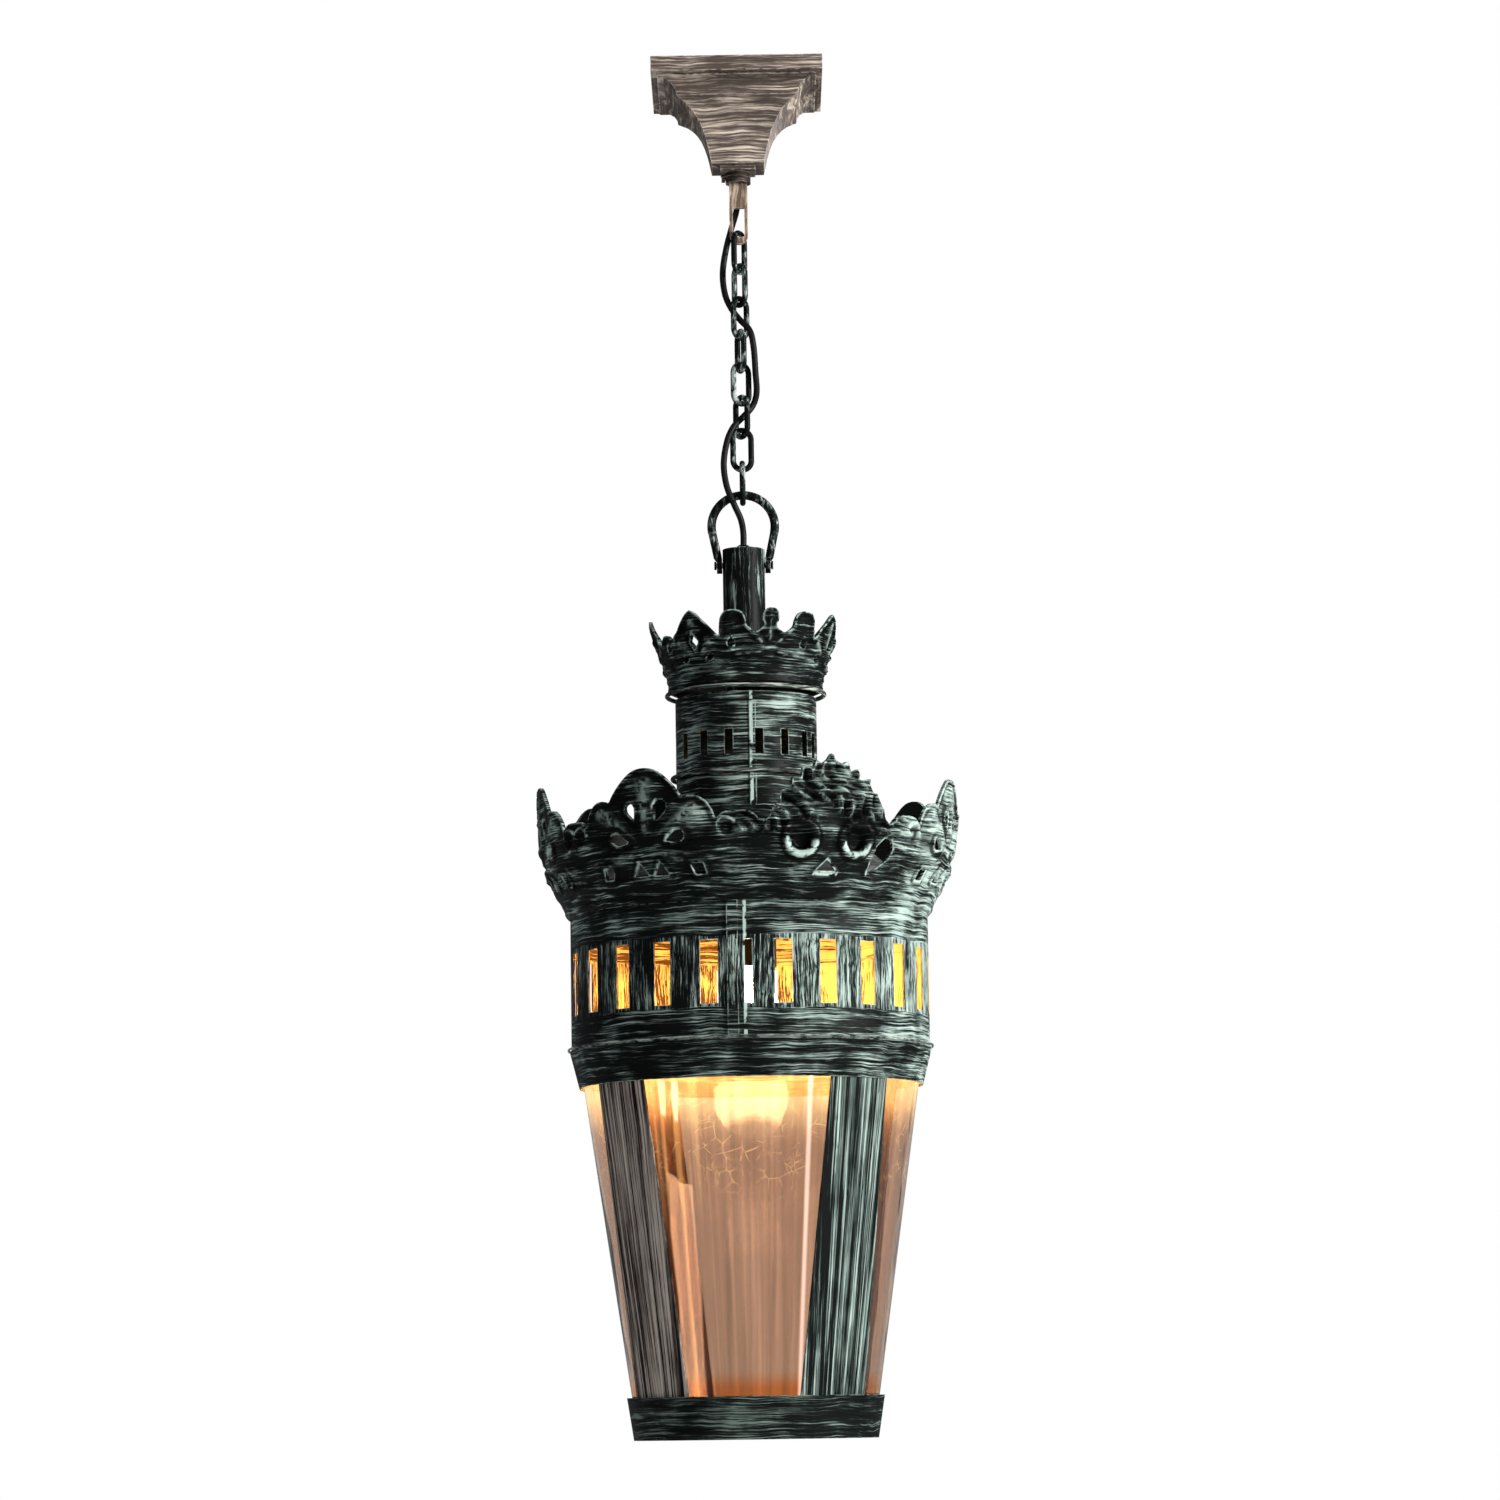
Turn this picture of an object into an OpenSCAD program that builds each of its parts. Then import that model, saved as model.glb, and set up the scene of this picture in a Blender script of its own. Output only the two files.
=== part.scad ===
// A crowned metal lantern that hangs from the ceiling on a chain.
// The origin is the middle of the canopy's face against the ceiling, and everything hangs below it.
// Angles round the lantern are measured from the front, and grow towards the right.

/* [Canopy] */
// Width of the square canopy across its top slab
canopy_w = 122; // [112:1:160]
// Height of the canopy from the ceiling to its foot
canopy_h = 71; // [66:1:90]
// Height of the canopy's square top slab
slab_h = 10.6; // [8:0.2:13]
// Width of the canopy at the top of its cove
cove_w = 110; // [104:1:112]
// Width of the canopy where the cove meets the waisted body
body_w = 83; // [76:1:90]
// Depth below the ceiling at which the cove ends
cove_end = 24.8; // [22:0.2:28]
// Width of the canopy just above its foot
waist_w = 37.6; // [34:0.2:44]
// Width of the square foot under the canopy
foot_w = 25; // [22:0.5:30]
// Height of the square foot under the canopy
foot_h = 3; // [2:0.5:5]
// Thickness of the canopy's cast wall
canopy_wall = 2; // [1.5:0.1:3]

/* [Collar and hook] */
// Diameter of the collar under the canopy
collar_d = 18; // [17:0.5:22]
// Height of the collar
collar_h = 8; // [6:0.5:12]
// Bore of the collar, which lets the hook and the cable through
collar_bore = 14.8; // [14.4:0.1:15.4]
// Width of the flat eye of the hook
hook_w = 13.2; // [12.6:0.2:13.6]
// Thickness of the flat eye of the hook
hook_t = 3; // [2.6:0.1:3.4]
// Width of the window in the hook
eye_w = 8.2; // [8:0.1:8.6]
// Height of the window in the hook
eye_h = 21; // [20:0.5:28]
// Height of the bar under the window, which the chain hangs on
hook_bar = 5.5; // [4.5:0.5:6]
// Depth of the hook's bearing below the ceiling
hook_drop = 118; // [114:1:150]
// Diameter of the hook's threaded rod
rod_d = 8; // [6:1:10]

/* [Ceiling bracket] */
// Length of the bracket strap
bracket_l = 96; // [84:1:100]
// Width of the bracket strap
bracket_w = 20; // [16:1:28]
// Thickness of the bracket strap
bracket_t = 2.5; // [2:0.5:4]
// Distance between the two screw holes of the bracket
screw_spacing = 70; // [60:1:76]
// Diameter of the screw holes
screw_hole_d = 5; // [4:0.5:6]

/* [Chain and cable] */
// Distance from one link's bearing to the next
link_pitch = 24; // [22:0.5:28]
// Diameter of the chain's wire
link_wire = 4.2; // [3.6:0.1:4.4]
// Width of a link over all
link_w = 17.4; // [17:0.2:19]
// Diameter of the pendant cable
cable_d = 4.5; // [4:0.1:4.8]

/* [Bail and stem] */
// Diameter of the bail's wire
bail_wire = 6.2; // [5.4:0.2:6.4]
// Radius of the bail's bow, to the middle of its wire
bail_r = 22.5; // [21:0.5:26]
// Height from the bail's pins to its bearing on the chain
bail_h = 47.6; // [45:0.2:60]
// Diameter of the eyelets at the bail's feet
eyelet_d = 11.4; // [9:0.2:13]
// Thickness of the eyelets
eyelet_t = 3.8; // [3:0.2:5]
// Diameter of the pins that carry the bail
pin_d = 4; // [3:0.5:5]
// Diameter of the stem tube
stem_d = 30; // [26:1:34]
// Length of the stem tube
stem_l = 113; // [100:0.2:130]
// Height of the stem above the bail's pins
stem_above = 11.2; // [8:0.2:14]
// Wall of the stem and of the rolled sheet parts
sheet = 1.2; // [1:0.1:1.6]
// Diameter of the domed cable entry on the stem
entry_d = 13.2; // [11:0.2:16]
// Height of the domed cable entry
entry_h = 4.2; // [3:0.2:6]
// Diameter of the threaded centre tube
tube_d = 10; // [9:0.5:11]
// Bore of the centre tube
tube_bore = 7; // [6:0.2:7.4]

/* [Small crown and neck] */
// Radius of the neck drum
neck_r = 50; // [46:0.5:56]
// Height of the neck drum
neck_h = 51.5; // [44:0.5:60]
// Number of slots round the neck drum
neck_slots = 16; // [10:1:18]
// Width of a neck slot
neck_slot_w = 6; // [4:0.5:8]
// Height of a neck slot
neck_slot_h = 18; // [12:0.5:24]
// Depth of the neck slots below the drum's top
neck_slot_drop = 21.5; // [14:0.5:26]
// Height of the small crown to its leaf tips
small_crown_h = 60; // [56:1:64]
// How far the small crown's tips lean out past its base
small_crown_lean = 16.5; // [12:0.5:20]
// Thickness of the pierced cast crowns
crown_wall = 1.6; // [1.2:0.1:2]
// Number of leaves round each crown
leaves = 7; // [6:1:8]
// Radius of the rolled bead wires
bead_r = 1.6; // [1.2:0.1:2]

/* [Big crown and roof] */
// Height of the big crown to its leaf tips
crown_h = 96; // [92:1:102]
// How far the big crown bows out past its base
crown_bow = 20.4; // [16:0.2:26]
// Height from the neck drum's foot to the big drum's top
roof_h = 98; // [90:1:110]
// Length of the plain tube between the roof and the neck drum
roof_neck = 24; // [16:1:34]
// Height of the roof's upright flange inside the crown
roof_flange = 20; // [14:1:26]

/* [Drum and band] */
// Radius of the big drum
drum_r = 126; // [116:0.5:132]
// Height of the big drum
drum_h = 94; // [88:1:110]
// Number of slots round the big drum
drum_slots = 24; // [18:1:26]
// Width of a drum slot
drum_slot_w = 12.5; // [9:0.5:14]
// Height of a drum slot
drum_slot_h = 43.5; // [30:0.5:50]
// Depth of the drum slots below the drum's top
drum_slot_drop = 27; // [20:0.5:30]
// Angle covered by the drum's lapped seam
lap_angle = 3.4; // [2:0.2:5]
// Height of the shoulder band
band_h = 26; // [22:0.5:32]
// Radius of the thin bead round the drum's foot
drum_bead_r = 0.8; // [0.6:0.1:1.6]

/* [Glass, straps and ring] */
// Height of the conical glass that shows
glass_h = 215.5; // [190:0.5:240]
// How far the glass stands in from the drum's wall where it leaves the band
glass_inset = 8.5; // [6:0.5:14]
// Outer radius of the glass where it enters the ring
glass_low_r = 86.3; // [80:0.1:92]
// Thickness of the glass
glass_t = 2.4; // [2:0.2:4]
// Width of a strap at its top
strap_top_w = 49; // [36:1:56]
// Width of a strap at its foot
strap_low_w = 57; // [40:1:62]
// Height of the bottom ring
ring_h = 29.5; // [24:0.5:40]
// How far the bottom ring tapers in
ring_taper = 4.6; // [2:0.2:8]
// Width of the ledge that the glass stands on
ledge_w = 7; // [5:0.5:10]

/* [Lamp] */
// Diameter of the lampholder
holder_d = 38; // [36:1:42]
// Length of the lampholder's shell
holder_l = 43; // [40:1:60]
// Diameter of the bulb
bulb_d = 55; // [50:1:66]
// Length of the bulb with its cap
bulb_l = 98; // [90:1:120]

/* [Hidden] */

// Small overlap that keeps cuts clean
eps = 0.01;
// Gap between parts that move on each other, and between seated parts
fit = 0.3;
// Radial gap of the bail's eyelets on their pins
pin_fit = 0.08;

strap_count = 4;
glass_top_r = drum_r - glass_inset;
// Gap between the glass and a strap, and between a strap and the bottom ring
strap_gap = 0.5;
ring_gap = 0.7;
collar_top = -canopy_h;
collar_low = collar_top - collar_h;
hook_bearing = -hook_drop;

// Chain
link_count = 8;
link_r = link_wire / 2;
link_bend = link_w / 2 - link_r;
link_inner = link_pitch + fit;
// How far the first link's wire stands off the hook's square edged bar
hook_play = 0.8;
// Which way each link faces, measured from the hook's own plane
link_turn = [56, -55, 46, -70, 35, -52, 12, 90];
function link_top(n) = hook_bearing + hook_play - n * link_pitch;

// Bail and the levels of the lantern, from the top down
hang_z = link_top(link_count - 1) - link_inner + fit;
pin_z = hang_z - bail_h;
stem_top = pin_z + stem_above;
neck_top = stem_top - stem_l;
neck_low = neck_top - neck_h;
drum_top = neck_low - roof_h;
drum_low = drum_top - drum_h;
band_low = drum_low - band_h;
ring_top = band_low - glass_h;
ring_low = ring_top - ring_h;
entry_top = stem_top + entry_h;

// Crowns
small_base_z = neck_top + 5;
small_base_r = neck_r + 2.5;
crown_base_r = drum_r + 1.5;
leaf_angle = 360 / leaves;
// One leaf of each crown stands this far left of the front
leaf_start = -28.7;

// Bars and nuts of the lamp's suspension
bar_z = drum_top + roof_flange - 6;
bar_t = 2;
bar_w = 22;
nut_h = 4;
nut_d = 17;
tube_low = bar_z - 8;
holder_top = tube_low + 1;
cap_h = 9;
shell_top = holder_top - cap_h;
shell_low = shell_top - holder_l + cap_h;
socket_z = shell_top - 10;
socket_r = holder_d / 2 - 2.5;

// The cable's route from the terminal block to the stem's cable entry, chosen point by point
cable_route = [[29, 0, -15.8], [29, 0.5, -22], [26, 3, -31], [19, 6.5, -41], [11, 7.6, -50],
               [4.8, 6.6, -58], [1, 4.8, -66.5], [0, 4.7, -75], [-0.2, 4.7, -87],
               [-1.6, 4.7, -98], [-5.2, 5.2, -110], [-9.5, 5.6, -126], [-12, 5.6, -143],
               [-10.6, 6.6, -158], [-6.2, 5.4, -169], [0, 0.4, -178.5], [6.8, -4.4, -187.4],
               [9.4, -4.6, -200], [10.4, -1.6, -217], [11, 3.4, -231], [7.8, 5.8, -240.5],
               [0.6, 0.8, -249.5], [-6, -4.6, -257.5], [-10.6, -5.8, -268], [-13.2, -5.6, -284],
               [-11.4, -6.6, -300], [-6.5, -6.4, -313], [-1.6, -3, -324], [0, 0, -333],
               [0, 0, -343.4]];

function lerp(a, b, t) = a + (b - a) * t;
function bez(a, b, c, d, t) =
    a * pow(1 - t, 3) + 3 * b * t * pow(1 - t, 2) + 3 * c * (1 - t) * t * t + d * pow(t, 3);
function glass_r(z) = lerp(glass_top_r, glass_low_r, (band_low - z) / glass_h);

// A flat shape pushed outward through a wall, drawn as width and height from the wall's foot
module pierce(angle, r1, r2, z) {
    rotate([0, 0, angle]) translate([0, -r1, z]) rotate([90, 0, 0])
        linear_extrude(height = r2 - r1) children();
}

// Canopy

// Half of the canopy's side outline, from the ceiling down to the foot
function canopy_side() = concat(
    [[canopy_w / 2, 0], [canopy_w / 2, -slab_h], [cove_w / 2, -slab_h - 1]],
    [for (i = [0:5]) let (a = i * 18)
        [lerp(body_w, cove_w, 1 - sin(a)) / 2 + 1.5,
         -slab_h - 2 - (cove_end - slab_h - 3) * (1 - cos(a))]],
    [for (i = [0:8]) bez([body_w / 2, -cove_end], [body_w / 2 - 15, -cove_end - 8],
                         [waist_w / 2 + 4, -canopy_h + 24], [waist_w / 2, -canopy_h + foot_h], i / 8)]);

// The square body made by a side outline, moved in by a wall
module canopy_body(inset, z_shift) {
    half = [for (p = canopy_side()) [p[0] - inset, p[1] + z_shift]];
    outline = concat(half, [for (i = [len(half) - 1:-1:0]) [-half[i][0], half[i][1]]]);
    width = canopy_w + 20;
    intersection() {
        rotate([90, 0, 0]) linear_extrude(height = width, center = true) polygon(outline);
        rotate([90, 0, 90]) linear_extrude(height = width, center = true) polygon(outline);
    }
}

module canopy() {
    color([0.42, 0.37, 0.33]) difference() {
        union() {
            canopy_body(0, 0);
            translate([-foot_w / 2, -foot_w / 2, -canopy_h]) cube([foot_w, foot_w, foot_h + 1]);
        }
        difference() {
            canopy_body(canopy_wall, eps);
            translate([0, 0, -canopy_h - 1]) cylinder(d = 60, h = foot_h + 1 + canopy_wall, $fn = 64);
        }
        translate([0, 0, -canopy_h - 1]) cylinder(d = collar_bore, h = 30, $fn = 64);
    }
}

module canopy_collar() {
    color([0.16, 0.13, 0.12]) difference() {
        translate([0, 0, collar_low]) cylinder(d = collar_d, h = collar_h, $fn = 64);
        translate([0, 0, collar_low - 1]) cylinder(d = collar_bore, h = collar_h + 2, $fn = 64);
        translate([0, 0, collar_low + collar_h / 2]) rotate([0, -90, 0])
            cylinder(d = 3, h = collar_d, $fn = 24);
    }
}

module collar_screw() {
    tip = hook_w / 2 + fit;
    color([0.30, 0.27, 0.25]) translate([0, 0, collar_low + collar_h / 2]) rotate([0, -90, 0])
        difference() {
            union() {
                translate([0, 0, tip]) cylinder(d = 2.9, h = collar_d / 2 + 1 - tip, $fn = 24);
                translate([0, 0, collar_d / 2 + fit]) cylinder(d = 5.6, h = 2.6, $fn = 32);
            }
            translate([-0.5, -4, collar_d / 2 + 2.1]) cube([1, 8, 2]);
        }
}

// Ceiling bracket and hook

module ceiling_bracket() {
    low = -bracket_t;
    color([0.72, 0.72, 0.70]) difference() {
        translate([-bracket_l / 2, -bracket_w / 2, low]) cube([bracket_l, bracket_w, bracket_t]);
        for (side = [-1, 1]) translate([side * screw_spacing / 2, 0, low - 1])
            cylinder(d = screw_hole_d, h = bracket_t + 2, $fn = 32);
        translate([0, 0, low - 1]) cylinder(d = rod_d + 0.2, h = bracket_t + 2, $fn = 32);
    }
}

module terminal_block() {
    block_z = -bracket_t - 13;
    color([0.92, 0.91, 0.87]) difference() {
        translate([19, -6, block_z]) cube([20, 12, 13]);
        for (i = [0:2]) {
            translate([22.4 + i * 6.6, 7, block_z + 7]) rotate([90, 0, 0]) cylinder(d = 3, h = 14, $fn = 20);
            translate([22.4 + i * 6.6, 0, block_z - 1]) cylinder(d = 3.4, h = 5, $fn = 20);
        }
    }
}

module hook() {
    flat_top = collar_top + 20;
    low = hook_bearing - hook_bar;
    eye_round = 1.6;
    color([0.66, 0.58, 0.48]) difference() {
        union() {
            translate([0, 0, flat_top - 6]) cylinder(d = rod_d, h = -1 - flat_top + 6, $fn = 32);
            translate([-hook_w / 2, -hook_t / 2, low + hook_w / 2])
                cube([hook_w, hook_t, flat_top - low - hook_w / 2]);
            translate([0, hook_t / 2, low + hook_w / 2]) rotate([90, 0, 0])
                cylinder(d = hook_w, h = hook_t, $fn = 48);
        }
        translate([-eye_w / 2, -hook_t, hook_bearing + eye_round])
            cube([eye_w, hook_t * 2, eye_h - eye_round]);
        translate([eye_round - eye_w / 2, -hook_t, hook_bearing])
            cube([eye_w - 2 * eye_round, hook_t * 2, eye_round + eps]);
        for (side = [-1, 1]) translate([side * (eye_w / 2 - eye_round), hook_t, hook_bearing + eye_round])
            rotate([90, 0, 0]) cylinder(r = eye_round, h = hook_t * 2, $fn = 24);
    }
}

module hex_nut(across, bore, h) {
    difference() {
        cylinder(d = across / cos(30), h = h, $fn = 6);
        translate([0, 0, -1]) cylinder(d = bore, h = h + 2, $fn = 32);
    }
}

module hook_nuts() {
    color([0.72, 0.72, 0.70])
        translate([0, 0, -bracket_t - 6.5]) hex_nut(13, rod_d + 0.1, 6.5);
}

// Chain links are bent wire: two half rounds joined by straight sides

module wire_link(turn, top) {
    straight = link_inner - 2 * (link_bend - link_r);
    high = top - (link_bend - link_r);
    rotate([0, 0, turn]) union() {
        translate([0, 0, high]) rotate([90, 0, 0])
            rotate_extrude(angle = 180, $fn = 48) translate([link_bend, 0]) circle(r = link_r, $fn = 24);
        translate([0, 0, high - straight]) rotate([90, 0, 0]) rotate([0, 0, 180])
            rotate_extrude(angle = 180, $fn = 48) translate([link_bend, 0]) circle(r = link_r, $fn = 24);
        for (side = [-1, 1]) translate([side * link_bend, 0, high - straight])
            cylinder(r = link_r, h = straight, $fn = 24);
    }
}

module chain_link(n) {
    color([0.20, 0.24, 0.23]) wire_link(link_turn[n - 1], link_top(n - 1));
}

// Cable: one tube swept along the route, smoothed between its points

function spline(p, i, t) =
    let (a = p[max(i - 1, 0)], b = p[i], c = p[i + 1], d = p[min(i + 2, len(p) - 1)])
    0.5 * (2 * b + (c - a) * t + (2 * a - 5 * b + 4 * c - d) * t * t
           + (3 * b - a - 3 * c + d) * t * t * t);

function unit(v) = v / norm(v);

module swept_tube(route, r, steps, sides) {
    line = concat([for (i = [0:len(route) - 2]) for (s = [0:steps - 1]) spline(route, i, s / steps)],
                  [route[len(route) - 1]]);
    last = len(line) - 1;
    along = [for (i = [0:last]) unit(line[min(i + 1, last)] - line[max(i - 1, 0)])];
    side = [for (d = along) unit(cross(d, [0, 1, 0]))];
    points = [for (i = [0:last]) for (k = [0:sides - 1])
        line[i] + r * (cos(360 * k / sides) * side[i]
                       + sin(360 * k / sides) * cross(along[i], side[i]))];
    faces = concat(
        [[for (k = [0:sides - 1]) k]],
        [for (i = [0:last - 1]) for (k = [0:sides - 1])
            let (a = i * sides + k, b = i * sides + (k + 1) % sides) [a, a + sides, b + sides, b]],
        [[for (k = [sides - 1:-1:0]) last * sides + k]]);
    polyhedron(points = points, faces = faces, convexity = 10);
}

module pendant_cable() {
    color([0.03, 0.03, 0.03]) swept_tube(cable_route, cable_d / 2, 3, 8);
}

module flex_in_tube() {
    high = cable_route[len(cable_route) - 1][2] - 0.2;
    low = shell_top - 6;
    color([0.03, 0.03, 0.03]) translate([0, 0, low]) cylinder(d = cable_d, h = high - low, $fn = 24);
}

// Bail: a bow of round wire whose legs close in on the stem and end in flattened eyelets

module bail() {
    bow_z = hang_z + bail_wire / 2 - bail_r;
    eyelet_x = stem_d / 2 + fit;
    leg_x = eyelet_x + bail_wire / 2;
    leg_z = pin_z + eyelet_d / 2 + 0.2;
    reach = norm([leg_x, bow_z - leg_z]);
    tangent = atan2(bow_z - leg_z, leg_x) - acos(bail_r / reach);
    tx = bail_r * cos(tangent);
    tz = bow_z - bail_r * sin(tangent);
    leg_l = norm([tx - leg_x, tz - leg_z]);
    lean = atan2(tx - leg_x, tz - leg_z);
    leg_d = bail_wire - fit;
    color([0.19, 0.22, 0.21]) difference() {
        union() {
            translate([0, 0, bow_z]) rotate([90, 0, 0]) rotate([0, 0, -tangent])
                rotate_extrude(angle = 180 + 2 * tangent, $fn = 64)
                    translate([bail_r, 0]) circle(d = bail_wire, $fn = 32);
            for (side = [-1, 1]) {
                translate([side * leg_x, 0, leg_z]) rotate([0, side * lean, 0]) {
                    cylinder(d = leg_d, h = leg_l + 2, $fn = 32);
                    translate([0, 0, -2.5]) cylinder(d1 = leg_d - 2, d2 = leg_d, h = 2.5 + eps, $fn = 32);
                }
                translate([side * (eyelet_x + eyelet_t / 2) - eyelet_t / 2, 0, pin_z])
                    rotate([0, 90, 0]) cylinder(d = eyelet_d, h = eyelet_t, $fn = 48);
            }
        }
        for (side = [-1, 1]) translate([side * eyelet_x, 0, pin_z]) rotate([0, side * 90, 0])
            translate([0, 0, -1]) cylinder(d = pin_d + 2 * pin_fit, h = eyelet_t + 2, $fn = 32);
    }
}

module bail_pins() {
    wall_in = stem_d / 2 - sheet;
    head_out = stem_d / 2 + 2 * fit + eyelet_t;
    head_d = pin_d + 2;
    color([0.17, 0.20, 0.19]) for (side = [-1, 1])
        translate([0, 0, pin_z]) rotate([0, side * 90, 0]) {
            translate([0, 0, wall_in - 2]) cylinder(d = pin_d, h = head_out - wall_in + 3, $fn = 32);
            translate([0, 0, head_out]) cylinder(d = head_d, h = 1.6, $fn = 32);
            translate([0, 0, wall_in - 2.4]) cylinder(d = head_d + 1, h = 1.6, $fn = 32);
        }
}

module stem() {
    color([0.20, 0.24, 0.23]) difference() {
        translate([0, 0, neck_top]) cylinder(d = stem_d, h = stem_l, $fn = 96);
        translate([0, 0, neck_top - 1]) cylinder(d = stem_d - 2 * sheet, h = stem_l + 1 - sheet, $fn = 96);
        translate([0, 0, stem_top - 5]) cylinder(d = tube_d + 0.2, h = 10, $fn = 32);
        translate([-30, 0, pin_z]) rotate([0, 90, 0]) cylinder(d = pin_d + 0.1, h = 60, $fn = 32);
    }
}

module cable_entry() {
    color([0.14, 0.16, 0.16]) difference() {
        union() {
            translate([0, 0, stem_top]) cylinder(d = entry_d, h = 1.2, $fn = 48);
            intersection() {
                translate([0, 0, stem_top + 1.2 - eps]) cylinder(d = entry_d, h = entry_h - 1.2, $fn = 48);
                translate([0, 0, entry_top - entry_d / 2 - 0.4]) sphere(d = entry_d + 0.8, $fn = 48);
            }
        }
        translate([0, 0, stem_top - 5]) cylinder(d = cable_d + 2 * fit, h = 20, $fn = 32);
    }
}

module centre_tube() {
    high = stem_top - 0.1;
    color([0.75, 0.68, 0.42]) difference() {
        translate([0, 0, tube_low]) cylinder(d = tube_d, h = high - tube_low, $fn = 48);
        translate([0, 0, tube_low - 1]) cylinder(d = tube_bore, h = high - tube_low + 2, $fn = 48);
    }
}

module tube_nuts() {
    color([0.75, 0.68, 0.42]) {
        translate([0, 0, bar_z + bar_t]) hex_nut(nut_d, tube_d + 0.1, nut_h);
        translate([0, 0, bar_z - nut_h]) hex_nut(nut_d, tube_d + 0.1, nut_h);
        translate([0, 0, neck_top - sheet - nut_h]) hex_nut(nut_d, tube_d + 0.1, nut_h);
    }
}

module cross_bar() {
    reach = drum_r - 2 * sheet - 3 * fit;
    color([0.62, 0.62, 0.60]) difference() {
        intersection() {
            union() {
                translate([-reach, -bar_w / 2, bar_z]) cube([2 * reach, bar_w, bar_t]);
                for (side = [-1, 1]) translate([side * (reach - 2) - 2, -bar_w / 2, bar_z - 8])
                    cube([4, bar_w, 8 + bar_t]);
            }
            translate([0, 0, bar_z - 10]) cylinder(r = reach, h = 20, $fn = 96);
        }
        translate([0, 0, bar_z - 1]) cylinder(d = tube_d + 0.2, h = bar_t + 2, $fn = 32);
    }
}

// Crowns: a flared bowl of cast metal, pierced and cut to a leaf outline

// A wall turned from an outline of [radius, height] points, seen from the outside
module bowl(side, wall, z) {
    inner = [for (i = [len(side) - 1:-1:0]) [side[i][0] - wall, side[i][1]]];
    translate([0, 0, z]) rotate_extrude($fn = 128) polygon(concat(side, inner));
}

// The space above one leaf's outline, which is cut away between the tips
module above_leaf(half, top, reach) {
    mirrored = [for (i = [len(half) - 1:-1:1]) [-half[i][0], half[i][1]]];
    polygon(concat([[-reach, top]], [[-reach, half[len(half) - 1][1]]], mirrored, half,
                   [[reach, half[len(half) - 1][1]]], [[reach, top]]));
}

module teardrop(w, h) {
    polygon([[0, h * 0.55], [w * 0.32, h * 0.18], [w * 0.5, -h * 0.14], [w * 0.34, -h * 0.38],
             [0, -h * 0.45], [-w * 0.34, -h * 0.38], [-w * 0.5, -h * 0.14], [-w * 0.32, h * 0.18]]);
}

module small_crown() {
    lean = small_crown_lean;
    // The leaf is drawn for a crown 60 mm high
    grow = small_crown_h / 60;
    side = [[small_base_r, 0], [small_base_r + 1.5, 4.5], [small_base_r + 4.5, 15],
            [small_base_r + lean * 0.55, 30], [small_base_r + lean * 0.82, 44],
            [small_base_r + lean, small_crown_h + 1]];
    leaf = grow * [[0, 60], [6, 56.5], [11, 50.5], [15.5, 43], [19, 38.5], [20.5, 42],
                   [21, 46.5], [23.5, 50.4], [27, 51.6]];
    r1 = small_base_r - 4;
    r2 = small_base_r + lean + 6;
    color([0.19, 0.23, 0.22]) difference() {
        bowl(side, crown_wall, small_base_z);
        for (i = [0:leaves - 1]) {
            a = leaf_start - 5 + i * leaf_angle;
            pierce(a, r1, r2, small_base_z)
                above_leaf(leaf, small_crown_h + 6, r2 * sin(leaf_angle / 2));
            pierce(a, r1, r2, small_base_z) translate([0, 38 * grow]) teardrop(7 * grow, 10 * grow);
            for (turn = [-11, 11]) pierce(a + turn, r1, r2, small_base_z)
                translate([0, 27 * grow]) circle(d = 6 * grow, $fn = 16);
            pierce(a + leaf_angle / 2, r1, r2, small_base_z)
                translate([0, 37 * grow]) teardrop(5 * grow, 7 * grow);
        }
    }
}

module small_crown_bead() {
    r = small_base_r + 1.5 + bead_r + 0.1;
    color([0.40, 0.44, 0.42]) translate([0, 0, small_base_z + 3.2])
        rotate_extrude($fn = 96) translate([r, 0]) circle(r = bead_r, $fn = 24);
}

module big_crown() {
    bow = crown_bow;
    // The leaf is drawn for a crown 96 mm high
    grow = crown_h / 96;
    side = [[crown_base_r, 0], [crown_base_r + bow * 0.34, 14 * grow],
            [crown_base_r + bow * 0.64, 28 * grow], [crown_base_r + bow * 0.87, 44 * grow],
            [crown_base_r + bow * 0.98, 67.6 * grow], [crown_base_r + bow, crown_h + 1]];
    leaf = grow * [[0, 96], [6, 94], [12, 89.5], [18, 82], [22.5, 73.5], [25, 69], [29, 71.5],
                   [35, 70.5], [41, 66], [46, 58.5], [50, 55], [53, 60], [58, 62.5], [64, 63]];
    r1 = crown_base_r - 4;
    r2 = crown_base_r + bow + 6;
    color([0.20, 0.24, 0.23]) difference() {
        bowl(side, crown_wall, drum_top);
        for (i = [0:leaves - 1]) {
            a = leaf_start + i * leaf_angle;
            pierce(a, r1, r2, drum_top) above_leaf(leaf, crown_h + 6, r2 * sin(leaf_angle / 2));
            for (turn = [-4.2, 4.2]) pierce(a + turn, r1, r2, drum_top)
                translate([0, 71 * grow]) rotate([0, 0, turn * 4]) teardrop(8 * grow, 15 * grow);
            for (turn = [-8.6, 8.6]) pierce(a + turn, r1, r2, drum_top)
                translate([0, 49 * grow]) circle(d = 11 * grow, $fn = 24);
            for (turn = [-12.5, 12.5]) pierce(a + turn, r1, r2, drum_top)
                translate([0, 31 * grow]) rotate([0, 0, turn * 2]) teardrop(9 * grow, 13 * grow);
            pierce(a, r1, r2, drum_top)
                polygon(grow * [[-5, 27], [5, 27], [0, 36]]);
            pierce(a + leaf_angle / 2, r1, r2, drum_top)
                translate([0, 40 * grow]) teardrop(14 * grow, 20 * grow);
        }
    }
}

// Neck

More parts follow.
